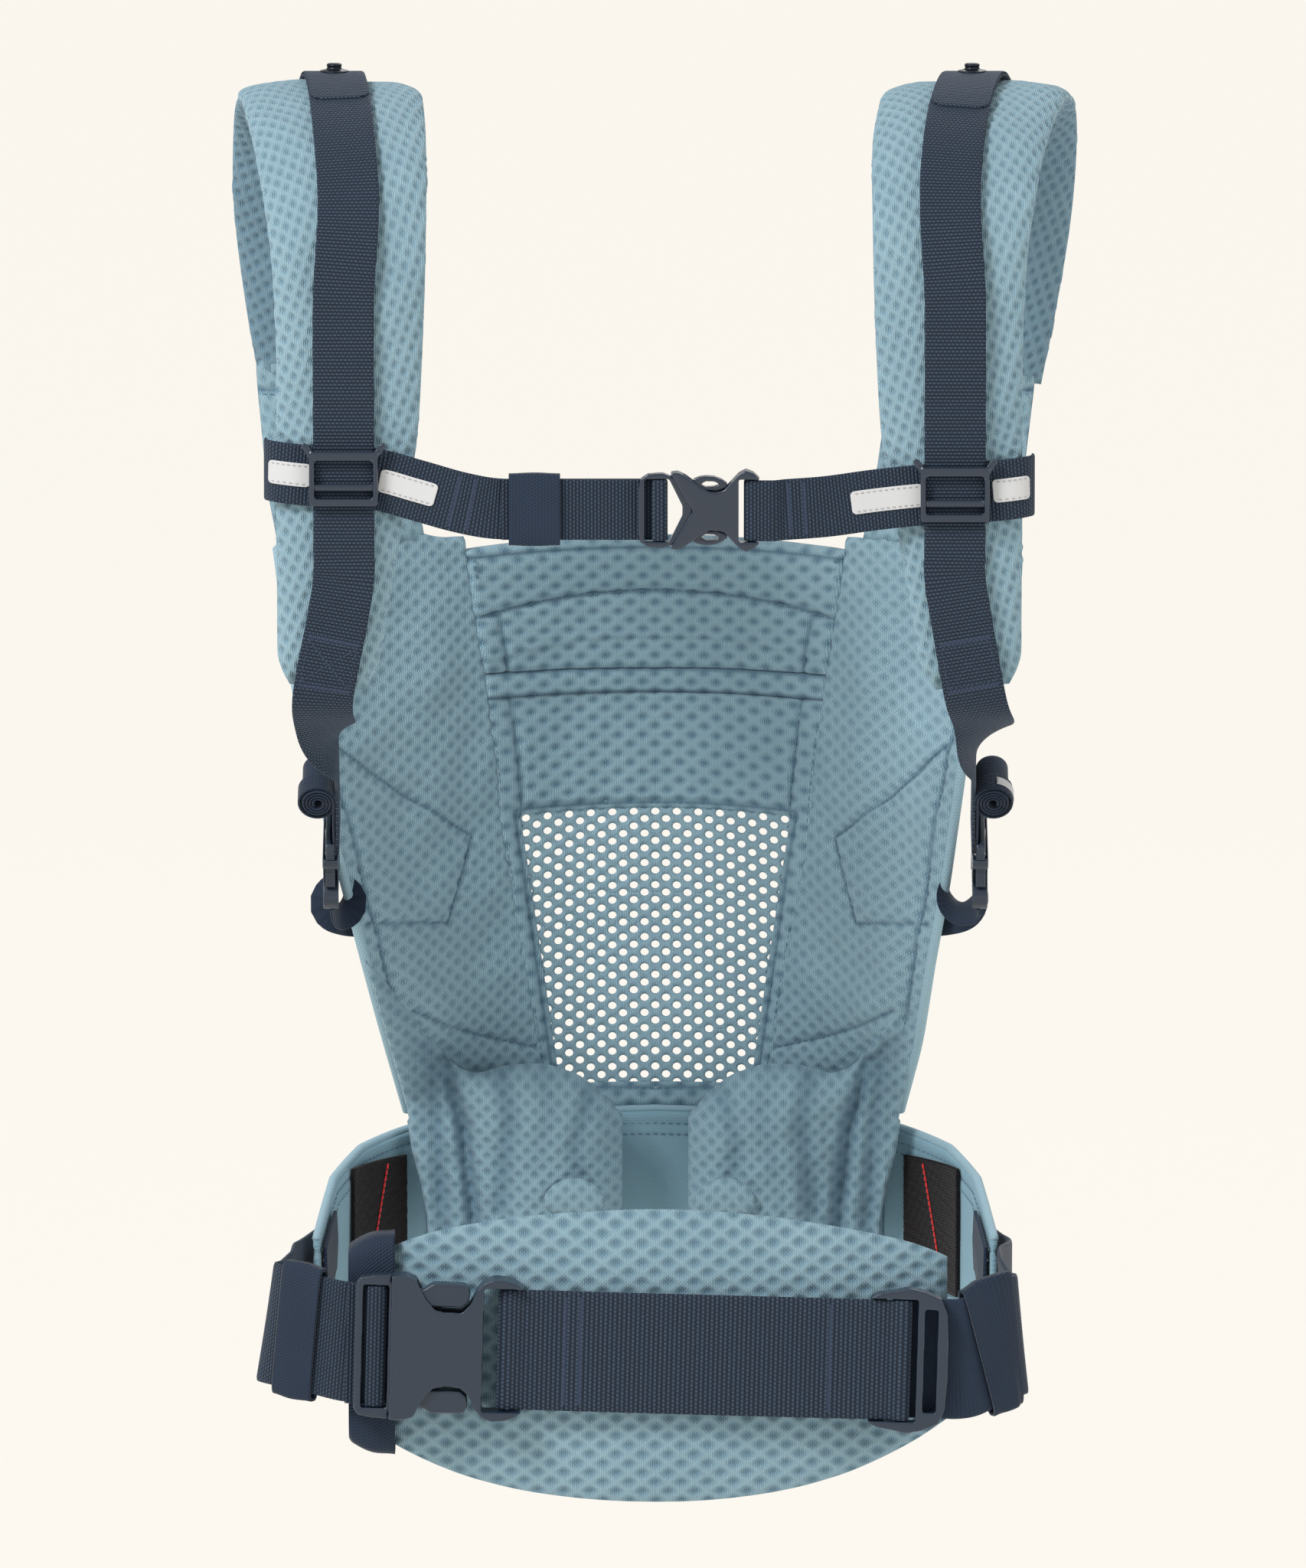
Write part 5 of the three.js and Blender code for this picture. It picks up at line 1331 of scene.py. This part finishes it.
def shoulderWeb(name, s):
    t = np.linspace(0.7, 0.05, 23)
    line, _, across, out = padFrame(s, t)
    near = line + out * (shoulder["half"] + 2.75 - 1.6 * ease((t - 0.42) / 0.1))[:, None]
    wander = ease((near[:, 2] - 492) / 60)
    straight = s * 6.8 * ease((385 - near[:, 2]) / 45) + s * 125 + shoulderShift
    near[:, 0] = mix(straight, line[:, 0] - across[:, 0] * s * 1.5, wander)
    lineEnd = np.array([s * 132.4, -8, 260])
    beyond = [(s * 134 + shoulderShift, -104, 331), (s * 135.5, -86, 317), (lineEnd[0], -56, 304),
              lineEnd - sideRun * 38, lineEnd - sideRun * 20, lineEnd - sideRun * 1.5]
    points = np.vstack([near, beyond])
    share = np.linspace(0, 1, 330)
    place0 = evenT(points, share)
    path = pathAt(points, place0)
    turn = np.where((path[:, 1] < 0) & (path[:, 2] < 340), ease((path[:, 1] + 100) / 52), 0)[:, None]
    flat = mix(across1, across, wander[:, None])
    index = np.minimum(place0 * (len(points) - 1), 22)
    flat = np.stack([np.interp(index, np.arange(23), flat[:, k]) for k in range(3)], -1)
    turned = np.array([0, s * np.sqrt(0.75), s * 0.5])
    wide = flat * s * np.cos(turn * np.pi / 2) + turned * np.sin(turn * np.pi / 2)
    band = web(f"shoulderWeb{name.title()}", path, wide, (25.0, 1.4), navyWeb, "carrier", f"shoulder_web_{name}",
               at=0.35)
    # the doubled end at the top of the shoulder, its cut edge curved
    run = alongOf(path)
    edgeZ = 573 if s < 0 else 570
    over = np.linspace(0, alongWhere(band, 2, edgeZ) * 0.985, 70)
    line2, normal = onBand(band, over, 0.0, 0.5)
    wide2 = np.stack([np.interp(over, run, band["wide"][:, k]) for k in range(3)], -1)
    rounding = np.sqrt(np.clip(1 - np.clip((over - over[-1] + 5) / 5, 0, 1) ** 2, 0.02, 1))
    double = ribbon(f"shoulderEnd{name.title()}", line2, unit(wide2), normal, 24.4 * (0.55 + 0.45 * rounding), 0.9,
                    navyWeb, start=0.8)
    place(double, "carrier", "webbing")
    low, high = alongWhere(band, 2, 338), alongWhere(band, 2, 355)
    runs = boxStitch(band, high, low, 10.0) + [barTack(band, high - 1.5, 10.5), barTack(band, low + 1.5, 10.5)]
    stitchPiece(f"shoulderStitches{name.title()}", runs, navyThread, "carrier", "webbing")


# Chest webs, each on its own half of the strap.
chestZ = {"left": 423.5, "right": 417.0}


def chestOuter(s, z):
    rows = [(157.2, -93, 2.5), (157, -98, 2.4), (153.5, -103.2, 2.2), (147, -106, 1.6), (138, -106.6, 0.8),
            (125, -106.6, 0), (112, -106.6, -0.6)]
    return [(s * x + shoulderShift, y, z + dz) for x, y, dz in rows]


def brightStrip(name, band, x0, x1, node=None):
    a, b = sorted([alongWhere(band, 0, x0), alongWhere(band, 0, x1)])
    run = np.linspace(a, b, 46)
    line, normal = onBand(band, run, 0.0, 0.35)
    width = 9.6 * (0.72 + 0.28 * np.sqrt(np.clip(1 - np.clip(1 - np.minimum(run - a, b - run) / 2.2, 0, 1) ** 2, 0, 1)))
    wide = np.stack([np.interp(run, alongOf(band["line"]), band["wide"][:, k]) for k in range(3)], -1)
    piece = ribbon(name, line, unit(wide), normal, width, 0.5, brightTape)
    place(piece, band["body"], "reflective", *([node] if node else []))
    rows = [bandRow(band, a + 1.4, b - 1.4, k, k, 2.3, 1.6, 0.45, 0.62) for k in (-3.7, 3.7)]
    stitchPiece(name + "Stitches", rows, greyThread, band["body"], "reflective")


def chestWebs():
    behind = -112 + 1.2 + 0.3 + 1.4 + 0.3 + 0.7
    left = chestOuter(-1, chestZ["left"]) + [(-98, -107, 418.5), (-80, -107.8, 413.5), (-66, behind, 411),
                                             (-50, behind, 410.8), (-20, behind, 410.8), (1.5, behind, 410.8)]
    path = pathAt(left, evenT(left, np.linspace(0, 1, 240)))
    band = web("chestWebLeft", path, up1, chestSize, navyWeb, "chest_left", "chest_web_left")
    brightStrip("brightStripLeft", band, -113, -89.8, "reflective_strip_left")
    brightStrip("brightEndLeft", band, -157.5, -141)
    tacks = [barTack(band, alongWhere(band, 0, x), 10.8) for x in (-82, -75.5)]
    stitchPiece("chestTacksLeft", tacks, navyThread, "chest_left", "webbing")
    right = chestOuter(1, chestZ["right"]) + [(90, -107.6, 414.5), (70, -109.5, 412), (52.5, -111.6, 410.9)]
    bar = barLoop(1.9 + 1.0, 1.3 + 1.0, 9.0, legCount=4)
    loop = inFrame(bar * np.array([1, 1, 1]), (39.7, -112, 410.8), (1, 0, 0), (0, -1, 0), (0, 0, 1))
    path = pathAt(right, evenT(right, np.linspace(0, 1, 200)))
    end = np.linspace(0, 1, 12)[1:-1, None]
    path = np.vstack([path, mix(path[-1], loop[0], end), loop])
    path = path[np.concatenate([[True], np.linalg.norm(np.diff(path, axis=0), axis=1) > 0.05])]
    band = web("chestWebRight", path, up1, chestSize, navyWeb, "chest_right", "chest_web_right", at=0.3)
    brightStrip("brightStripRight", band, 80, 109.5, "reflective_strip_right")
    brightStrip("brightEndRight", band, 138, 152.3)
    tacks = [barTack(band, alongWhere(band, 0, x), 10.8) for x in (54.7, 61.1)]
    stitchPiece("chestTacksRight", tacks, navyThread, "chest_right", "webbing")
    # the adjusting tail and the elastic keeper round it
    tail = inFrame(barLoop(2.9, 2.2, -64.4, legCount=90), (1.4, -112, 410.8), (1, 0, 0), (0, 1, 0), (0, 0, 1))
    band = web("chestStrapTail", tail, up1, chestSize, navyWeb, "chest_ladder", "chest_strap_tail",
               at=0.4)
    ring = vec(np.linspace(-60, -39, 26), -109.25, 410.8)
    sleeve("chestKeeper", ring, up1, None, 14.9, 3.35, 1.2, navyElastic, "chest_keeper", "chest_keeper")


# Waist webs and the front strap, in the tilted frame of the buckle.
tilt = np.radians(1.6)
waistFrame = ((0, -127, 63.7), (np.cos(tilt), 0, -np.sin(tilt)), (0, 1, 0), (np.sin(tilt), 0, np.cos(tilt)))


def waistFront():
    turn = np.linspace(1.3 * np.pi, 0, 40)
    start = vec(-60.5 - 3.7 * power(np.sin(turn), 0.75), -2.8 * power(np.cos(turn), 0.75), 0)
    finish = vec(100.5 + 3.7 * power(np.sin(turn[::-1]), 0.75), -2.8 * power(np.cos(turn[::-1]), 0.75), 0)
    run = vec(np.linspace(-55.5, 95.5, 170), -1.2, 0)
    run[:, 1] -= 0.35 * np.sin(np.linspace(0, np.pi, 170)) ** 2
    line = inFrame(np.vstack([start, run, finish]), *waistFrame)
    band = web("waistWebFront", line, waistFrame[3], (50, 1.8), navyFront, "waist_front", "waist_web_front",
               columns=22)
    base = alongWhere(band, 0, 0)
    tacks = [barTack(band, base + x, 22.5, width=2.2) for x in (-37.4, -31, 71.7)]
    stitchPiece("waistTacks", tacks, navyThread, "waist_front", "webbing")
    loop = inFrame(barLoop(3.7, 2.8, -11.8, legCount=14), (0, 0, 0), (1, 0, 0), (0, 1, 0), (0, 0, 1))
    loop = inFrame(loop + np.array([-115.5, 0, 0]), *waistFrame)
    web("waistStrapLoop", loop, waistFrame[3], (50, 1.8), navyWeb, "waist_ladder", "waist_strap_loop",
        columns=22, at=0.15)


waistCorner = {"left": (160, 71), "right": (150.5, 67)}


def waistWebs():
    depth = -127 + 4.9
    for name, s in sides.items():
        cx, cz = waistCorner[name]
        end = 110 if s < 0 else 97
        level = lambda x: 63.7 - np.tan(tilt) * s * x
        cornerY = depth + (cx - 4 - 127) * 0.66
        line = lambda f: (s * mix(127, cx - 4, f), mix(depth, cornerY, f), mix(level(127), cz, f))
        points = [(s * end, depth, level(end)), (s * 118, depth, level(118)), (s * 124.5, depth + 0.2, level(124.5)),
                  line(0.12), line(0.5), line(0.9), (s * cx, cornerY + 7, cz), (s * (cx - 1.5), cornerY + 20, cz - 1),
                  (s * (cx - 6), -50, 69), (s * 148.5, -12, 66), (s * 145.5, 14, 64), (s * 143.5, 30, 63)]
        share = np.linspace(0, 1, 240)
        t = evenT(points, share)
        path = pathAt(points, t)
        lean = (0.16 if s < 0 else 0.1) * ease((share - 0.15) / 0.2) * (1 - ease((share - 0.5) / 0.2))
        wide = vec(-s * lean, 0, 1)
        web(f"waistWeb{name.title()}", path, wide, (50, 1.8), navyWeb if s < 0 else navyTape, "carrier",
            f"waist_web_{name}", columns=20, at=0.1)
        a, b = (0.165, 0.265) if s < 0 else (0.185, 0.285)
        part = np.linspace(a, b, 28)
        ringLine = pathAt(points, evenT(points, part))
        ringWide = np.stack([np.interp(part, share, wide[:, k]) for k in range(3)], -1)
        sleeve(f"waistKeeper{name.title()}", ringLine, ringWide, None, 28.5, 3.4, 1.2, navyElastic,
               f"waist_keeper_{name}", f"waist_keeper_{name}")
    band = vec(np.linspace(-126.5, -107.5, 22), -103.2, 64)
    sleeve("lumbarBand", band, up1, None, 40 + 7 * np.sqrt(np.linspace(0, 1, 22)), 11, 1.3, navyElastic, "lumbar_pad", "lumbar_band", 140)


# Side straps: the rolled tail on the ladder's bar, its elastic band, and the web sewn to the panel.
def sideStraps(name, s):
    frameHere = sideFrame(s)
    turn = np.linspace(3.6 * 2 * np.pi, 0, 150)
    radius = 6.6 - 1.32 * turn / (2 * np.pi)
    roll = vec(-28 - radius * np.sin(turn), -5 + radius * np.cos(turn), 0)
    leg = barLoop(2.05, 1.6, -24.75, legCount=24)[1:] + np.array([-3.25, 0, 0])
    line = inFrame(np.vstack([roll, leg]), *frameHere)
    body = "side_ladder_" + name
    web(f"sideStrapTail{name.title()}", line, frameHere[3], sideSize, navyTape, body, f"side_strap_tail_{name}",
        columns=10)
    ring = np.linspace(0, 2 * np.pi, 60)
    circle = vec(-28 - 7.75 * np.sin(ring), -5 + 7.75 * np.cos(ring), 0)
    offset = -s * 6.8
    elastic = inFrame(circle + np.array([0, 0, offset]), *frameHere)
    band = web(f"tailBand{name.title()}", elastic, frameHere[3], (10.0, 0.9), navyElastic, body,
               columns=8)
    arc = np.linspace(0.55, 1.35, 24) * np.pi
    patch = vec(-28 - 8.45 * np.sin(arc), -5 + 8.45 * np.cos(arc), offset)
    if s > 0:
        web("tailTab", inFrame(patch, *frameHere), frameHere[3], (4.6, 0.4), brightTape, body, columns=7)
    # the web from the socket's bar onto the panel
    origin = np.array(frameHere[0]) + sideRun * 24.25
    start = origin + sideRun * 4.4
    across = np.array([0.985, 0.92, 0.85]) * s
    down = np.array([226.0, 223.0, 221.0])
    across = across * edgeX(s, down)
    laid = panelPoint(across, down) + panelNormal(across, down) * 5.5
    points = np.vstack([start, start + sideRun * 2.5, laid])
    share = np.linspace(0, 1, 70)
    path = pathAt(points, evenT(points, share))
    first = np.array([0, np.sqrt(0.75), 0.5])
    edge = s * edgeX(s, 212) * 0.85
    last = unit(panelPoint(edge, 200.0) - panelPoint(edge, 225.0))
    loop = barLoop(2.05, 1.6, 3.6, legCount=4)[::-1]
    loop = inFrame(loop, origin, sideRun, (-s, 0, 0), frameHere[3])
    wide = np.vstack([np.tile(first, (len(loop), 1)), mix(first, last, ease(share / 0.6)[:, None])])
    line = np.vstack([loop, path])
    web(f"sideAnchorWeb{name.title()}", line, wide, sideSize, navyTape, "carrier", f"side_anchor_web_{name}",
               columns=10, at=0.95)


for sideName, sideSign in sides.items():
    shoulderWeb(sideName, sideSign)
    sideStraps(sideName, sideSign)
chestWebs()
waistFront()
waistWebs()
print("webbing made")


# ---- moulded parts ----
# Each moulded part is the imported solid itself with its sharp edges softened, in its plastic or metal.
def moulded(node, name, body, material, slot, fine=0.55, rounds=6, keepNode=False):
    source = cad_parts[node]
    bpy.context.view_layer.update()
    mesh = source.data.copy()
    mesh.transform(source.matrix_world)
    mesh.materials.clear()
    mesh.materials.append(material)
    piece = bpy.data.objects.new(name, mesh)
    bpy.context.scene.collection.objects.link(piece)
    steps = [("weld", "WELD", {"merge_threshold": 0.00001}),
             ("grain", "REMESH", {"mode": "VOXEL", "voxel_size": fine * mm, "use_smooth_shade": True}),
             ("soften", "SMOOTH", {"factor": 0.5, "iterations": rounds})]
    for label, kind, values in steps:
        modifier = piece.modifiers.new(label, kind)
        for key, value in values.items():
            setattr(modifier, key, value)
    bpy.context.view_layer.update()
    made = bpy.data.meshes.new_from_object(piece.evaluated_get(bpy.context.evaluated_depsgraph_get()))
    piece.modifiers.clear()
    piece.data = made
    made.name = name
    made.polygons.foreach_set("use_smooth", np.ones(len(made.polygons), bool))
    made.materials.clear()
    made.materials.append(material)
    place(piece, body, slot, node)
    return piece


chestParts = {"chest_buckle_socket": "chest_right", "chest_buckle_ladder": "chest_ladder",
              "chest_prong_upper": "chest_prong_upper", "chest_prong_lower": "chest_prong_lower",
              "chest_slider_left": "chest_left", "chest_slider_right": "chest_right"}
waistParts = {"waist_buckle_socket": "waist_front", "waist_buckle_ladder": "waist_ladder",
              "waist_prong_upper": "waist_prong_upper", "waist_prong_lower": "waist_prong_lower",
              "waist_adjuster": "waist_front"}
for part, body in chestParts.items():
    moulded(part, part + "_shape", body, chestPlastic, "plastic", 0.4, 4)
for part, body in waistParts.items():
    moulded(part, part + "_shape", body, waistPlastic, "plastic", 0.5, 5)
for side in sides:
    for part, body in (("socket", "carrier"), ("ladder", f"side_ladder_{side}")):
        moulded(f"side_buckle_{part}_{side}", f"side_{part}_{side}_shape", body, waistPlastic, "plastic", 0.35, 3)
    for way in ("upper", "lower"):
        moulded(f"side_prong_{way}_{side}", f"side_prong_{way}_{side}_shape", f"side_prong_{way}_{side}",
                waistPlastic, "plastic", 0.3, 3)
    moulded(f"snap_stud_{side}", f"snap_stud_{side}_shape", "carrier", darkMetal, "dark_metal", 0.22, 3)
print("moulded parts made")


# ---- camera, light and floor ----
studio = {"aim": (-0.001, 0.0, 0.282), "elevation": 8.0, "distance": 6.0, "tall": 0.655, "floor": -0.25,
          "ambient": 0.47, "paper": (0.973, 0.939, 0.871, 1)}


def makeStudio():
    tilt = np.radians(studio["elevation"])
    camera = bpy.data.objects.new("camera", bpy.data.cameras.new("camera"))
    bpy.context.scene.collection.objects.link(camera)
    camera.location = Vector(studio["aim"]) + Vector((0, -np.cos(tilt), np.sin(tilt))) * studio["distance"]
    camera.rotation_euler = (np.pi / 2 - tilt, 0, 0)
    camera.data.lens = 36 * studio["distance"] / studio["tall"]
    camera.data.clip_end = 200
    bpy.context.scene.camera = camera
    world = bpy.data.worlds.new("softRoom")
    bpy.context.scene.world = world
    world.use_nodes = True
    tree = world.node_tree
    room = tree.nodes["Background"]
    room.inputs["Color"].default_value = (1.0, 0.975, 0.93, 1)
    room.inputs["Strength"].default_value = studio["ambient"]
    seen = tree.nodes.new("ShaderNodeBackground")
    seen.inputs["Color"].default_value = studio["paper"]
    ray = tree.nodes.new("ShaderNodeLightPath")
    both = tree.nodes.new("ShaderNodeMixShader")
    tree.links.new(ray.outputs["Is Camera Ray"], both.inputs[0])
    tree.links.new(room.outputs[0], both.inputs[1])
    tree.links.new(seen.outputs[0], both.inputs[2])
    tree.links.new(both.outputs[0], tree.nodes["World Output"].inputs["Surface"])
    for name, where, size, power in (("key", (-2.1, -2.2, 3.0), 1.2, 112), ("fill", (2.4, -2.2, 1.2), 2.2, 15),
                                     ("rim", (0.6, 2.6, 2.4), 1.6, 22)):
        lamp = bpy.data.objects.new(name, bpy.data.lights.new(name, "AREA"))
        bpy.context.scene.collection.objects.link(lamp)
        lamp.data.size = size
        lamp.data.energy = power
        lamp.location = where
        lamp.rotation_euler = (Vector((0, 0, 0.3)) - Vector(where)).to_track_quat("-Z", "Y").to_euler()
    floor = bpy.data.objects.new("floor", bpy.data.meshes.new("floor"))
    bpy.context.scene.collection.objects.link(floor)
    far = 60
    low = studio["floor"]
    floor.data.from_pydata([(-far, -far, low), (far, -far, low), (far, far, low), (-far, far, low)], [], [(0, 1, 2, 3)])
    paper = bpy.data.materials.new("palePaper")
    paper.use_nodes = True
    shader = paper.node_tree.nodes["Principled BSDF"]
    shader.inputs["Base Color"].default_value = (0.05, 0.048, 0.045, 1)
    shader.inputs["Roughness"].default_value = 1.0
    shader.inputs["Specular IOR Level"].default_value = 0.0
    shader.inputs["Emission Color"].default_value = studio["paper"]
    shader.inputs["Emission Strength"].default_value = 0.96
    floor.data.materials.append(paper)
    bpy.context.scene.view_settings.view_transform = "Standard"


makeStudio()
